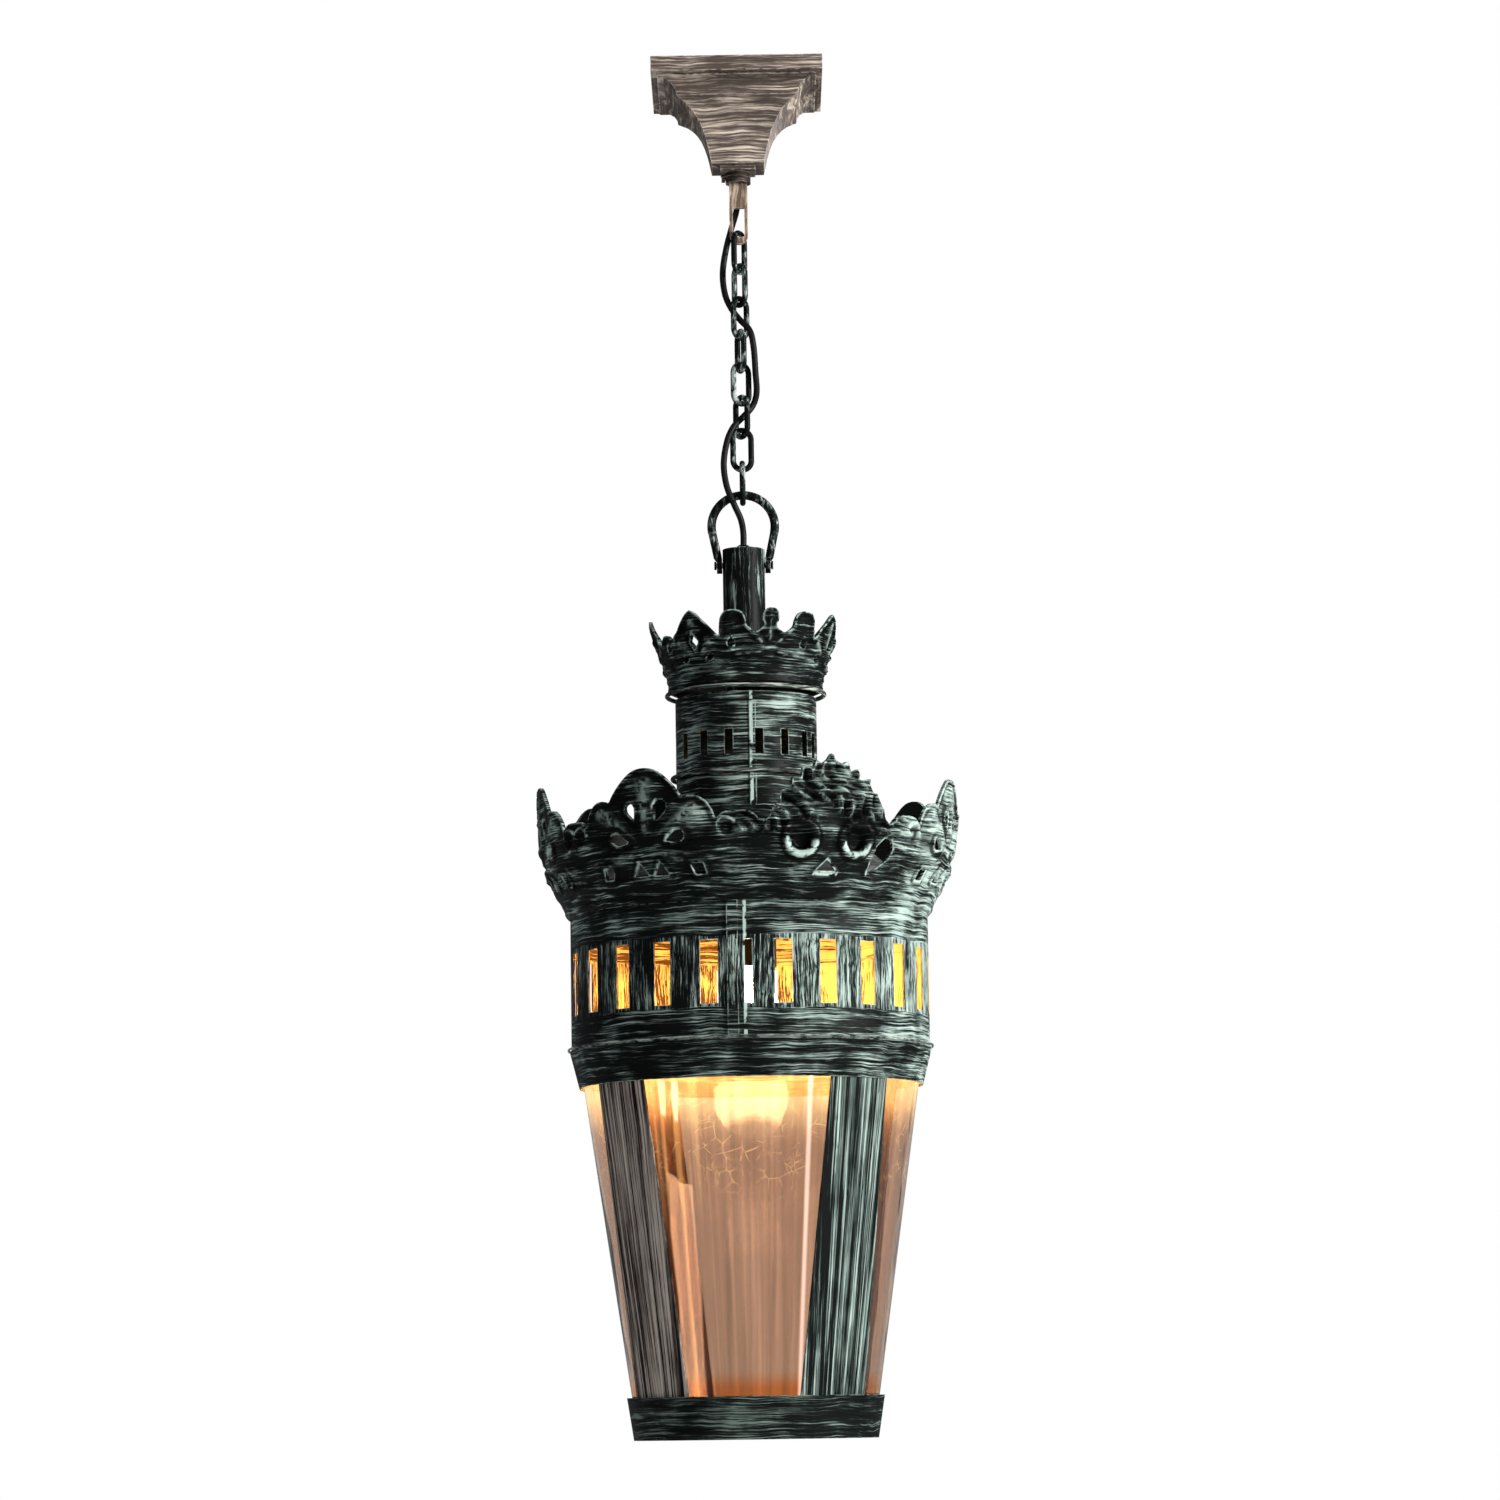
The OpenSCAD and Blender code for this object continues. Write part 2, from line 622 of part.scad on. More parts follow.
module neck_plate() {
    color([0.20, 0.24, 0.23]) difference() {
        translate([0, 0, neck_top - sheet]) cylinder(r = neck_r - sheet - 0.1, h = sheet, $fn = 96);
        translate([0, 0, neck_top - sheet - 1]) cylinder(d = tube_d + 0.2, h = sheet + 2, $fn = 32);
    }
}

// A ring of sheet with its own wall, between two levels
module sheet_ring(r_top, r_low, top, low) {
    translate([0, 0, low]) rotate_extrude($fn = 128)
        polygon([[r_low, 0], [r_top, top - low], [r_top - sheet, top - low], [r_low - sheet, 0]]);
}

// Angles of a row of slots: the ones in front as given, the rest evenly spaced behind
function slot_row(front, count, first, last) =
    let (behind = count - len(front))
    concat(front, [for (i = [0:behind - 1]) first + i * (last - first) / (behind - 1)]);

module neck_drum() {
    front = concat([for (i = [0:2]) 10.4 + i * 22.35], [for (i = [0:2]) -14.3 - i * 22.35]);
    slot_z = neck_top - neck_slot_drop - neck_slot_h;
    color([0.20, 0.24, 0.23]) difference() {
        union() {
            sheet_ring(neck_r, neck_r, small_base_z, neck_low);
            neck_lap(neck_r, neck_low, neck_h - 1);
        }
        for (a = slot_row(front, neck_slots, 70.3, 271.4)) pierce(a, neck_r - 5, neck_r + 5, slot_z)
            translate([-neck_slot_w / 2, 0]) square([neck_slot_w, neck_slot_h]);
    }
}

// The raised edge where the neck's rolled sheet laps over itself
module neck_lap(r, low, h) {
    translate([0, 0, low]) rotate([0, 0, 2.5 - 90]) rotate_extrude(angle = 5, $fn = 96)
        translate([r - eps, 0]) square([0.8, h]);
}

module neck_bead() {
    color([0.40, 0.44, 0.42]) translate([0, 0, neck_low + 0.4])
        rotate_extrude($fn = 96) translate([neck_r + 0.9 + bead_r, 0]) circle(r = bead_r, $fn = 24);
}

module neck_tube() {
    tube_r = neck_r - 0.2;
    low = neck_low - roof_neck;
    color([0.20, 0.24, 0.23]) union() {
        sheet_ring(tube_r, tube_r, neck_low - 0.1, low);
        neck_lap(tube_r, low, roof_neck - 1);
    }
}

module roof() {
    flange_r = drum_r - sheet - fit;
    flange_top = drum_top + roof_flange;
    cone_top = neck_low - roof_neck - 0.1;
    outer = [[neck_r - 0.2, cone_top], [neck_r + 14, cone_top - 9], [flange_r - 20, flange_top + 9],
             [flange_r, flange_top], [flange_r, drum_top - 6]];
    inner = [for (i = [len(outer) - 1:-1:0]) [outer[i][0] - sheet, outer[i][1] - (i > 0 && i < 4 ? 1 : 0)]];
    color([0.20, 0.24, 0.23]) rotate_extrude($fn = 128) polygon(concat(outer, inner));
}

// Drum, band and lower frame

module drum() {
    lap = -3.5;
    front = concat([-2], [for (i = [0:4]) 10.6 + i * 14.8], [for (i = [0:4]) -12.7 - i * 15.6]);
    slot_z = drum_top - drum_slot_drop - drum_slot_h;
    color([0.20, 0.25, 0.24]) difference() {
        union() {
            sheet_ring(drum_r, drum_r, drum_top, drum_low);
            translate([0, 0, drum_low + 2]) rotate([0, 0, lap - lap_angle - 90])
                rotate_extrude(angle = lap_angle, $fn = 96)
                    translate([drum_r - eps, 0]) square([sheet, drum_h - 2]);
        }
        for (a = slot_row(front, drum_slots, 85.7, 261.5)) pierce(a, drum_r - 6, drum_r + 6, slot_z)
            translate([-drum_slot_w / 2, 0]) square([drum_slot_w, drum_slot_h]);
    }
}

module drum_bead() {
    color([0.40, 0.44, 0.42]) translate([0, 0, drum_low + drum_bead_r + 0.2]) rotate_extrude($fn = 128)
        translate([drum_r + drum_bead_r + sheet + 0.1, 0]) circle(r = drum_bead_r, $fn = 16);
}

module shoulder_band() {
    top_r = drum_r + sheet + 0.1;
    low_r = glass_top_r + strap_gap + sheet + fit + sheet;
    color([0.20, 0.25, 0.24]) union() {
        sheet_ring(top_r, low_r, drum_low, band_low);
        translate([0, 0, drum_low - sheet]) difference() {
            cylinder(r = drum_r + 0.5, h = sheet, $fn = 128);
            translate([0, 0, -1]) cylinder(r = drum_r - 4, h = sheet + 2, $fn = 128);
        }
    }
}

// A strap is a strip of sheet bent to the glass, narrow at the top and wide at the foot
module strap(n) {
    angle = -50.5 + (n - 1) * 360 / strap_count;
    top = band_low + 10;
    low = ring_top - 5;
    color([0.20, 0.24, 0.23]) intersection() {
        rotate_extrude($fn = 128) polygon([
            [glass_r(top) + strap_gap, top], [glass_r(top) + strap_gap + sheet, top],
            [glass_r(low) + strap_gap + sheet, low], [glass_r(low) + strap_gap, low]]);
        rotate([0, 0, angle]) rotate([90, 0, 0])
            linear_extrude(height = glass_top_r + 20) polygon([
                [-strap_top_w / 2, top + 1], [strap_top_w / 2, top + 1],
                [strap_low_w / 2, low - 1], [-strap_low_w / 2, low - 1]]);
    }
}

module bottom_ring() {
    high = glass_low_r + strap_gap + sheet + ring_gap + sheet;
    color([0.20, 0.24, 0.23]) sheet_ring(high, high - ring_taper, ring_top, ring_low);
}

module glass_ledge() {
    top = ring_top - 6.5;
    outer = glass_low_r + strap_gap + sheet + ring_gap - fit - ring_taper * (7.7 / ring_h);
    color([0.30, 0.30, 0.24]) difference() {
        translate([0, 0, top - sheet]) cylinder(r = outer, h = sheet, $fn = 128);
        translate([0, 0, top - sheet - 1]) cylinder(r = outer - ledge_w, h = sheet + 2, $fn = 128);
    }
}

module glass_cone() {
    top = band_low + 12;
    low = ring_top - 6.3;
    color([0.85, 0.62, 0.48, 0.45]) rotate_extrude($fn = 128) polygon([
        [glass_r(top), top], [glass_r(low), low],
        [glass_r(low) - glass_t, low], [glass_r(top) - glass_t, top]]);
}

// Lamp

module holder_cap() {
    color([0.12, 0.11, 0.10]) difference() {
        translate([0, 0, shell_top]) rotate_extrude($fn = 64)
            polygon([[0, 0], [holder_d / 2, 0], [holder_d / 2, 3], [9, cap_h], [0, cap_h]]);
        translate([0, 0, shell_top - 1]) cylinder(d = tube_d + 0.1, h = cap_h + 2, $fn = 32);
    }
}

module holder_shell() {
    color([0.12, 0.11, 0.10]) difference() {
        translate([0, 0, shell_low]) cylinder(d = holder_d, h = shell_top - shell_low, $fn = 64);
        translate([0, 0, shell_low - 1]) cylinder(r = socket_r, h = socket_z - shell_low + 1, $fn = 64);
        translate([0, 0, shell_top - 8]) cylinder(d = tube_d + 2, h = 9, $fn = 48);
    }
}

module bulb() {
    r = bulb_d / 2;
    low = socket_z - 0.3 - bulb_l;
    centre = low + r;
    neck_z = shell_low - 1;
    side = concat([[0, centre - r * sin(80)]],
                  [for (i = [0:9]) let (a = -80 + i * 107 / 9) [r * cos(a), centre + r * sin(a)]],
                  [for (i = [1:6]) bez([r * cos(27), centre + r * sin(27)],
                                       [r * cos(27) - 7, centre + r * sin(27) + 14],
                                       [15.6, neck_z - 14], [14.6, neck_z], i / 6)],
                  [[13.4, neck_z + 4], [13.4, socket_z - 3], [6, socket_z - 0.3], [0, socket_z - 0.3]]);
    color([1, 0.93, 0.78]) rotate_extrude($fn = 64) polygon(side);
}

ceiling_bracket();
terminal_block();
hook();
hook_nuts();
pendant_cable();
canopy();
canopy_collar();
collar_screw();
for (n = [1:link_count])
    chain_link(n);
bail();
stem();
cable_entry();
bail_pins();
centre_tube();
tube_nuts();
cross_bar();
flex_in_tube();
small_crown();
small_crown_bead();
neck_plate();
neck_drum();
neck_bead();
neck_tube();
roof();
big_crown();
drum();
drum_bead();
shoulder_band();
for (n = [1:strap_count])
    strap(n);
bottom_ring();
glass_ledge();
glass_cone();
holder_cap();
holder_shell();
bulb();
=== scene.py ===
import math
import bpy
import numpy as np
from mathutils import Euler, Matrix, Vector


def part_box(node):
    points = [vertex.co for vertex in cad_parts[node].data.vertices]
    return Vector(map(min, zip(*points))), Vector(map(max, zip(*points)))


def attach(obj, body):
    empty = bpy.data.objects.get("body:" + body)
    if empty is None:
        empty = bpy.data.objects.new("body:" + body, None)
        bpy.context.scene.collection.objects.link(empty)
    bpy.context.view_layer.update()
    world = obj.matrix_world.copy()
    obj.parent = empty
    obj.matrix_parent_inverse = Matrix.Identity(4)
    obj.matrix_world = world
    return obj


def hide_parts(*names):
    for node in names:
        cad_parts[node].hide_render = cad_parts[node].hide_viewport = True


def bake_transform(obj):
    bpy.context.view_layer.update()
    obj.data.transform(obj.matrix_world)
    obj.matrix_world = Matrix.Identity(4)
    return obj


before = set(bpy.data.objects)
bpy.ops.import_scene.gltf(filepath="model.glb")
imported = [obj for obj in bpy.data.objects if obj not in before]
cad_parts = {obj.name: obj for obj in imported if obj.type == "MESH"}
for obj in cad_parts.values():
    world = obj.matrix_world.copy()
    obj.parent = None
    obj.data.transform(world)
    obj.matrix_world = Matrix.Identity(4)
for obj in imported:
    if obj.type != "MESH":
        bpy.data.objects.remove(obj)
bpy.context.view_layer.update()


# The room: a white studio with a pale floor 2.6 m below the ceiling. A broad soft lamp stands to the right,
# as in the photograph, and weaker ones stand to the left, in front and behind.
scene = bpy.context.scene
scene.view_settings.view_transform = "Standard"


def add_node(tree, kind, values=None, **settings):
    """Adds a shader node. Each value goes to an input by its name or number, and a socket is linked to it."""
    made = tree.nodes.new(kind)
    for key, value in settings.items():
        setattr(made, key, value)
    for key, value in (values or {}).items():
        if isinstance(value, bpy.types.NodeSocket):
            tree.links.new(value, made.inputs[key])
        else:
            made.inputs[key].default_value = value
    return made


def reckon(tree, operation, *values, use_clamp=False):
    """One step of arithmetic on one to three values."""
    made = add_node(tree, "ShaderNodeMath", dict(enumerate(values)), operation=operation, use_clamp=use_clamp)
    return made.outputs[0]


world = bpy.data.worlds.new("studio")
scene.world = world
world.use_nodes = True
sky = world.node_tree
sky.nodes.clear()
sky_path = add_node(sky, "ShaderNodeLightPath")
sky_seen = reckon(sky, "MAXIMUM", sky_path.outputs["Is Camera Ray"], sky_path.outputs["Is Transmission Ray"])
sky_soft = add_node(sky, "ShaderNodeBackground", {"Color": (0.93, 0.96, 1.0, 1), "Strength": 0.20})
sky_white = add_node(sky, "ShaderNodeBackground", {"Color": (1, 1, 1, 1), "Strength": 1.0})
sky_mix = add_node(sky, "ShaderNodeMixShader", {"Fac": sky_seen, 1: sky_soft.outputs[0],
                                                2: sky_white.outputs[0]})
add_node(sky, "ShaderNodeOutputWorld", {"Surface": sky_mix.outputs[0]})


def plain_finish(name, color, rough, metal=0.0):
    """A material of one colour, with its node tree and its shader."""
    finish = bpy.data.materials.new(name)
    finish.use_nodes = True
    shader = finish.node_tree.nodes["Principled BSDF"]
    shader.inputs["Base Color"].default_value = (*color, 1)
    shader.inputs["Roughness"].default_value = rough
    shader.inputs["Metallic"].default_value = metal
    return finish, finish.node_tree, shader


def mesh_piece(name, points, faces, finish, smooth=False):
    mesh = bpy.data.meshes.new(name)
    mesh.from_pydata(points, [], faces)
    mesh.validate()
    mesh.polygons.foreach_set("use_smooth", [smooth] * len(mesh.polygons))
    mesh.materials.append(finish)
    piece = bpy.data.objects.new(name, mesh)
    scene.collection.objects.link(piece)
    return piece


floor_paint, floor_tree, floor_shader = plain_finish("pale_floor", (0.86, 0.86, 0.86), 0.9)
floor_path = add_node(floor_tree, "ShaderNodeLightPath")
floor_seen = reckon(floor_tree, "MULTIPLY", floor_path.outputs["Is Camera Ray"], 0.7)
floor_glow = add_node(floor_tree, "ShaderNodeEmission")
floor_mix = add_node(floor_tree, "ShaderNodeMixShader", {"Fac": floor_seen, 1: floor_shader.outputs[0],
                                                         2: floor_glow.outputs[0]})
floor_tree.links.new(floor_mix.outputs[0], floor_tree.nodes["Material Output"].inputs["Surface"])

floor_half, floor_level = 9.0, -2.6
floor_corners = [(x * floor_half, y * floor_half, floor_level)
                 for x, y in ((-1, -1), (1, -1), (1, 1), (-1, 1))]
mesh_piece("studio_floor", floor_corners, [(0, 1, 2, 3)], floor_paint)


def studio_lamp(name, place, aim, size, power, tint):
    lamp = bpy.data.lights.new(name, "AREA")
    lamp.shape = "DISK"
    lamp.size = size
    lamp.energy = power
    lamp.color = tint
    stand = bpy.data.objects.new(name, lamp)
    stand.location = place
    stand.rotation_euler = (Vector(aim) - Vector(place)).to_track_quat("-Z", "Y").to_euler()
    scene.collection.objects.link(stand)


studio_lamp("right_lamp", (3.1, -1.7, 0.1), (0, 0, -0.6), 1.4, 275, (1.0, 0.99, 0.97))
studio_lamp("left_lamp", (-3.0, -2.4, 0.3), (0, 0, -0.6), 1.6, 14, (0.94, 0.97, 1.0))
studio_lamp("front_lamp", (-0.2, -4.0, 1.2), (0, 0, -0.5), 2.2, 20, (1.0, 1.0, 1.0))
studio_lamp("back_lamp", (0.6, 3.2, 0.9), (0, 0, -0.5), 1.8, 34, (1.0, 1.0, 1.0))


# The photograph is taken from the height of the lantern's foot, three and a half metres away. The camera
# looks up by seven degrees, and leans by one.
camera_data = bpy.data.cameras.new("camera")
camera_data.lens = 123.0
camera_data.sensor_width = 36
camera_data.clip_end = 40
camera = bpy.data.objects.new("camera", camera_data)
camera.location = (0.0025, -3.6, -0.96)
tilt = Euler((math.radians(97.45), 0, 0)).to_matrix()
lean = Euler((0, 0, math.radians(-0.85))).to_matrix()
camera.rotation_euler = (tilt @ lean).to_euler()
scene.collection.objects.link(camera)
scene.camera = camera


# The pendant cable is a limp black round cable, 4.5 mm across. It leaves the terminal block in the canopy,
# comes out through the collar beside the hook, winds through the chain and ends in the stem's cable entry.
# It is made in stretches, which meet at the joints between the links.
def blotches(tree, where, scale, detail, roughness=0.5):
    """Soft noise, from 0 to 1."""
    noise = add_node(tree, "ShaderNodeTexNoise", {"Vector": where, "Scale": scale, "Detail": detail,
                                                  "Roughness": roughness})
    return noise.outputs["Fac"]


def bump_up(tree, shader, height, strength, distance):
    bump = add_node(tree, "ShaderNodeBump", {"Height": height, "Strength": strength, "Distance": distance})
    tree.links.new(bump.outputs["Normal"], shader.inputs["Normal"])


def faint_bump(tree, shader, scale, detail, strength, distance):
    """The fine unevenness of a moulded, plated or turned face."""
    place = add_node(tree, "ShaderNodeTexCoord")
    grain = blotches(tree, place.outputs["Object"], scale, detail, 0.6)
    bump_up(tree, shader, grain, strength, distance)
    return grain


def spread(tree, value, start, end, low=0.0, high=1.0):
    """Goes from low to high while the value goes from start to end, and stays level outside them."""
    made = add_node(tree, "ShaderNodeMapRange", {"Value": value, 1: start, 2: end, 3: low, 4: high})
    return made.outputs[0]


sheath, sheath_tree, sheath_shader = plain_finish("black_sheath", (0.004, 0.004, 0.005), 0.55)
sheath_shader.inputs["Specular IOR Level"].default_value = 0.12
sheath_grain = faint_bump(sheath_tree, sheath_shader, 900, 2, 0.12, 0.0003)
sheath_tree.links.new(spread(sheath_tree, sheath_grain, 0, 1, 0.42, 0.6), sheath_shader.inputs["Roughness"])

cable_width = 0.0045
cable_route = np.array([
    (29, 0, -15.8), (29, 0.5, -22), (26, 3, -31), (19, 6.5, -41), (11, 7.6, -50), (4.8, 6.6, -58),
    (1, 4.8, -66.5), (0, 4.7, -75), (-0.2, 4.7, -87), (-1.6, 4.7, -98), (-5.2, 5.2, -110),
    (-9.5, 5.6, -126), (-12, 5.6, -143), (-10.6, 6.6, -158), (-6.2, 5.4, -169), (0, 0.4, -178.5),
    (6.8, -4.4, -187.4), (9.4, -4.6, -200), (10.4, -1.6, -217), (11, 3.4, -231), (7.8, 5.8, -240.5),
    (0.6, 0.8, -249.5), (-6, -4.6, -257.5), (-10.6, -5.8, -268), (-13.2, -5.6, -284),
    (-11.4, -6.6, -300), (-6.5, -6.4, -313), (-1.6, -3, -324), (0, 0, -333), (0, 0, -343.4)]) / 1000


def smooth_route(points, steps):
    """A smooth line through the points, with this many steps between each two."""
    line = []
    for i in range(len(points) - 1):
        a, b, c, d = (points[min(max(i + k, 0), len(points) - 1)] for k in (-1, 0, 1, 2))
        for s in range(steps):
            t = s / steps
            line.append(0.5 * (2 * b + (c - a) * t + (2 * a - 5 * b + 4 * c - d) * t * t
                               + (3 * b - a - 3 * c + d) * t ** 3))
    return np.array(line + [points[-1]])


def round_tube(name, line, radius, sides, finish, caps=True):
    """A round tube along a line, which doesn't twist."""
    line = np.asarray(line, float)
    along = np.gradient(line, axis=0)
    along /= np.linalg.norm(along, axis=1)[:, None]
    side = np.cross(along[0], (0, 1, 0.02))
    points = []
    for at, way in zip(line, along):
        side = side - way * (side @ way)
        side /= np.linalg.norm(side)
        up = np.cross(way, side)
        for k in range(sides):
            turn = 2 * math.pi * k / sides
            points.append(tuple(at + radius * (math.cos(turn) * side + math.sin(turn) * up)))
    faces = []
    for ring in range(0, (len(line) - 1) * sides, sides):
        for k in range(sides):
            after = (k + 1) % sides
            faces.append((ring + k, ring + sides + k, ring + sides + after, ring + after))
    if caps:
        last = len(points) - 1
        faces += [tuple(range(sides)), tuple(range(last, last - sides, -1))]
    return mesh_piece(name, points, faces, finish, smooth=True)


# The levels of the joints between the links, and those at which one stretch of cable takes over from another.
cable_breaks = [0.0, -0.132, -0.1556, -0.1796, -0.2009, -0.2303, -0.2516, -0.2756, -0.2996, -0.3120, -1.0]
cable_bodies = ["ceiling_mount"] + [f"link_{n}" for n in range(1, 9)] + ["bail_body"]

cable_line = smooth_route(cable_route, 8)
last_stretch = len(cable_bodies) - 1
cable_stretches = []
for n, body in enumerate(cable_bodies):
    high, low = cable_breaks[n], cable_breaks[n + 1]
    inside = [i for i, point in enumerate(cable_line) if low <= point[2] <= high]
    part = cable_line[max(inside[0] - (n > 0), 0):inside[-1] + 1]
    stretch = round_tube(f"cable_stretch_{n + 1}", part, cable_width / 2, 14, sheath,
                         caps=n in (0, last_stretch))
    if n < last_stretch:
        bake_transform(stretch)
    else:
        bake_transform(stretch)
    cable_stretches.append((stretch, part))
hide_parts("pendant_cable")

for n, carried in ((0, range(1, 4)), (4, ()), (last_stretch, range(5, last_stretch))):
    stretch, line = cable_stretches[n]
    line = line[::-1] if n == last_stretch else line


# Inside the canopy: a zinc plated strap is screwed to the ceiling, and the hook's threaded rod hangs from it
# on two nuts. The white terminal block beside it takes the cable's wires. The cross bar in the lantern is zinc
# plated too.
zinc, zinc_tree, zinc_shader = plain_finish("zinc_plate", (0.50, 0.51, 0.50), 0.38, 0.9)
faint_bump(zinc_tree, zinc_shader, 260, 3, 0.15, 0.0002)
block_plastic, block_tree, block_shader = plain_finish("terminal_plastic", (0.80, 0.79, 0.75), 0.45)
faint_bump(block_tree, block_shader, 500, 2, 0.08, 0.0002)


def paint_nodes(finish, *names):
    for name in names:
        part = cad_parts[name]
        part.data.materials.clear()
        part.data.materials.append(finish)


paint_nodes(zinc, "ceiling_bracket", "hook_nuts", "cross_bar")
paint_nodes(block_plastic, "terminal_block")


# The canopy, its collar and the hook: cast metal under a brown coat, with beige paint dragged over it by a
# stiff brush. The strokes run level round the canopy and down the flat hook, and sharp edges are rubbed pale.
def vector_step(tree, operation, *values):
    """One step of arithmetic on one to three vectors."""
    made = add_node(tree, "ShaderNodeVectorMath", dict(enumerate(values)), operation=operation)
    return made.outputs["Value" if operation == "DOT_PRODUCT" else "Vector"]


def dimmed(tree, color, by):
    made = add_node(tree, "ShaderNodeVectorMath", {0: color, "Scale": by}, operation="SCALE")
    return made.outputs["Vector"]


def mixed(tree, share, first, second):
    """Goes from the first colour to the second."""
    made = add_node(tree, "ShaderNodeMixRGB", {"Fac": share, "Color1": first, "Color2": second})
    return made.outputs["Color"]


def tone_ramp(tree, value, *stops):
    """A run of colours along a value. Each stop is a place and a colour, and they go from low to high."""
    made = add_node(tree, "ShaderNodeValToRGB", {"Fac": value})
    ramp = made.color_ramp.elements
    for element, (at, color) in ((ramp[0], stops[0]), (ramp[1], stops[-1])):
        element.position, element.color = at, (*color, 1)
    for at, color in stops[1:-1]:
        ramp.new(at).color = (*color, 1)
    return made.outputs["Color"]


def axis_of(tree, vector, axis):
    return add_node(tree, "ShaderNodeSeparateXYZ", {0: vector}).outputs[axis]


def drawn_in(tree, where, cone):
    """The place on a cone, drawn out to the width of its upper end, so that marks run down the cone."""
    high, high_radius, low, low_radius = cone
    narrowed = spread(tree, axis_of(tree, where, "Z"), high, low, 1.0, low_radius / high_radius)
    wider = reckon(tree, "DIVIDE", 1.0, narrowed)
    widen = add_node(tree, "ShaderNodeCombineXYZ", {0: wider, 1: wider, 2: 1.0})
    return vector_step(tree, "MULTIPLY", where, widen.outputs[0])


def bristle_marks(tree, where, lie):
    """The fine marks of single bristles over the wider marks of the brush."""
    hair = vector_step(tree, "MULTIPLY", where, lie)
    fine = blotches(tree, hair, 1.0, 4.0, 0.68)
    wide = blotches(tree, hair, 0.31, 1.0)
    return reckon(tree, "MULTIPLY_ADD", wide, 0.35, fine)


def upright_between(tree, level, laid, upright, row):
    """Takes the upright marks between two levels, and the others elsewhere."""
    low, high = row
    soft_edge = 0.001
    below = spread(tree, level, high + soft_edge, high - soft_edge)
    above = spread(tree, level, low - soft_edge, low + soft_edge)
    share = reckon(tree, "MULTIPLY", below, above)
    return add_node(tree, "ShaderNodeMix", {0: share, 2: laid, 3: upright}).outputs[0]


def corner_wear(tree, radius):
    """Where a corner is sharp enough to be rubbed, from how far a rounded one would turn."""
    rounded = add_node(tree, "ShaderNodeBevel", {"Radius": radius}, samples=4)
    face = add_node(tree, "ShaderNodeNewGeometry")
    alike = vector_step(tree, "DOT_PRODUCT", rounded.outputs[0], face.outputs["Normal"])
    return spread(tree, alike, 0.995, 0.86)


def seam_wear(tree, where, seam):
    """A thin upright line at the front, where the edge of a lapped sheet is rubbed bare."""
    spot = add_node(tree, "ShaderNodeSeparateXYZ", {0: where})
    away = reckon(tree, "ABSOLUTE", reckon(tree, "SUBTRACT", spot.outputs["X"], seam))
    near = spread(tree, away, 0.0013, 0.0006, 0.0, 2.2)
    front = reckon(tree, "LESS_THAN", spot.outputs["Y"], 0.0)
    return reckon(tree, "MULTIPLY", near, front)


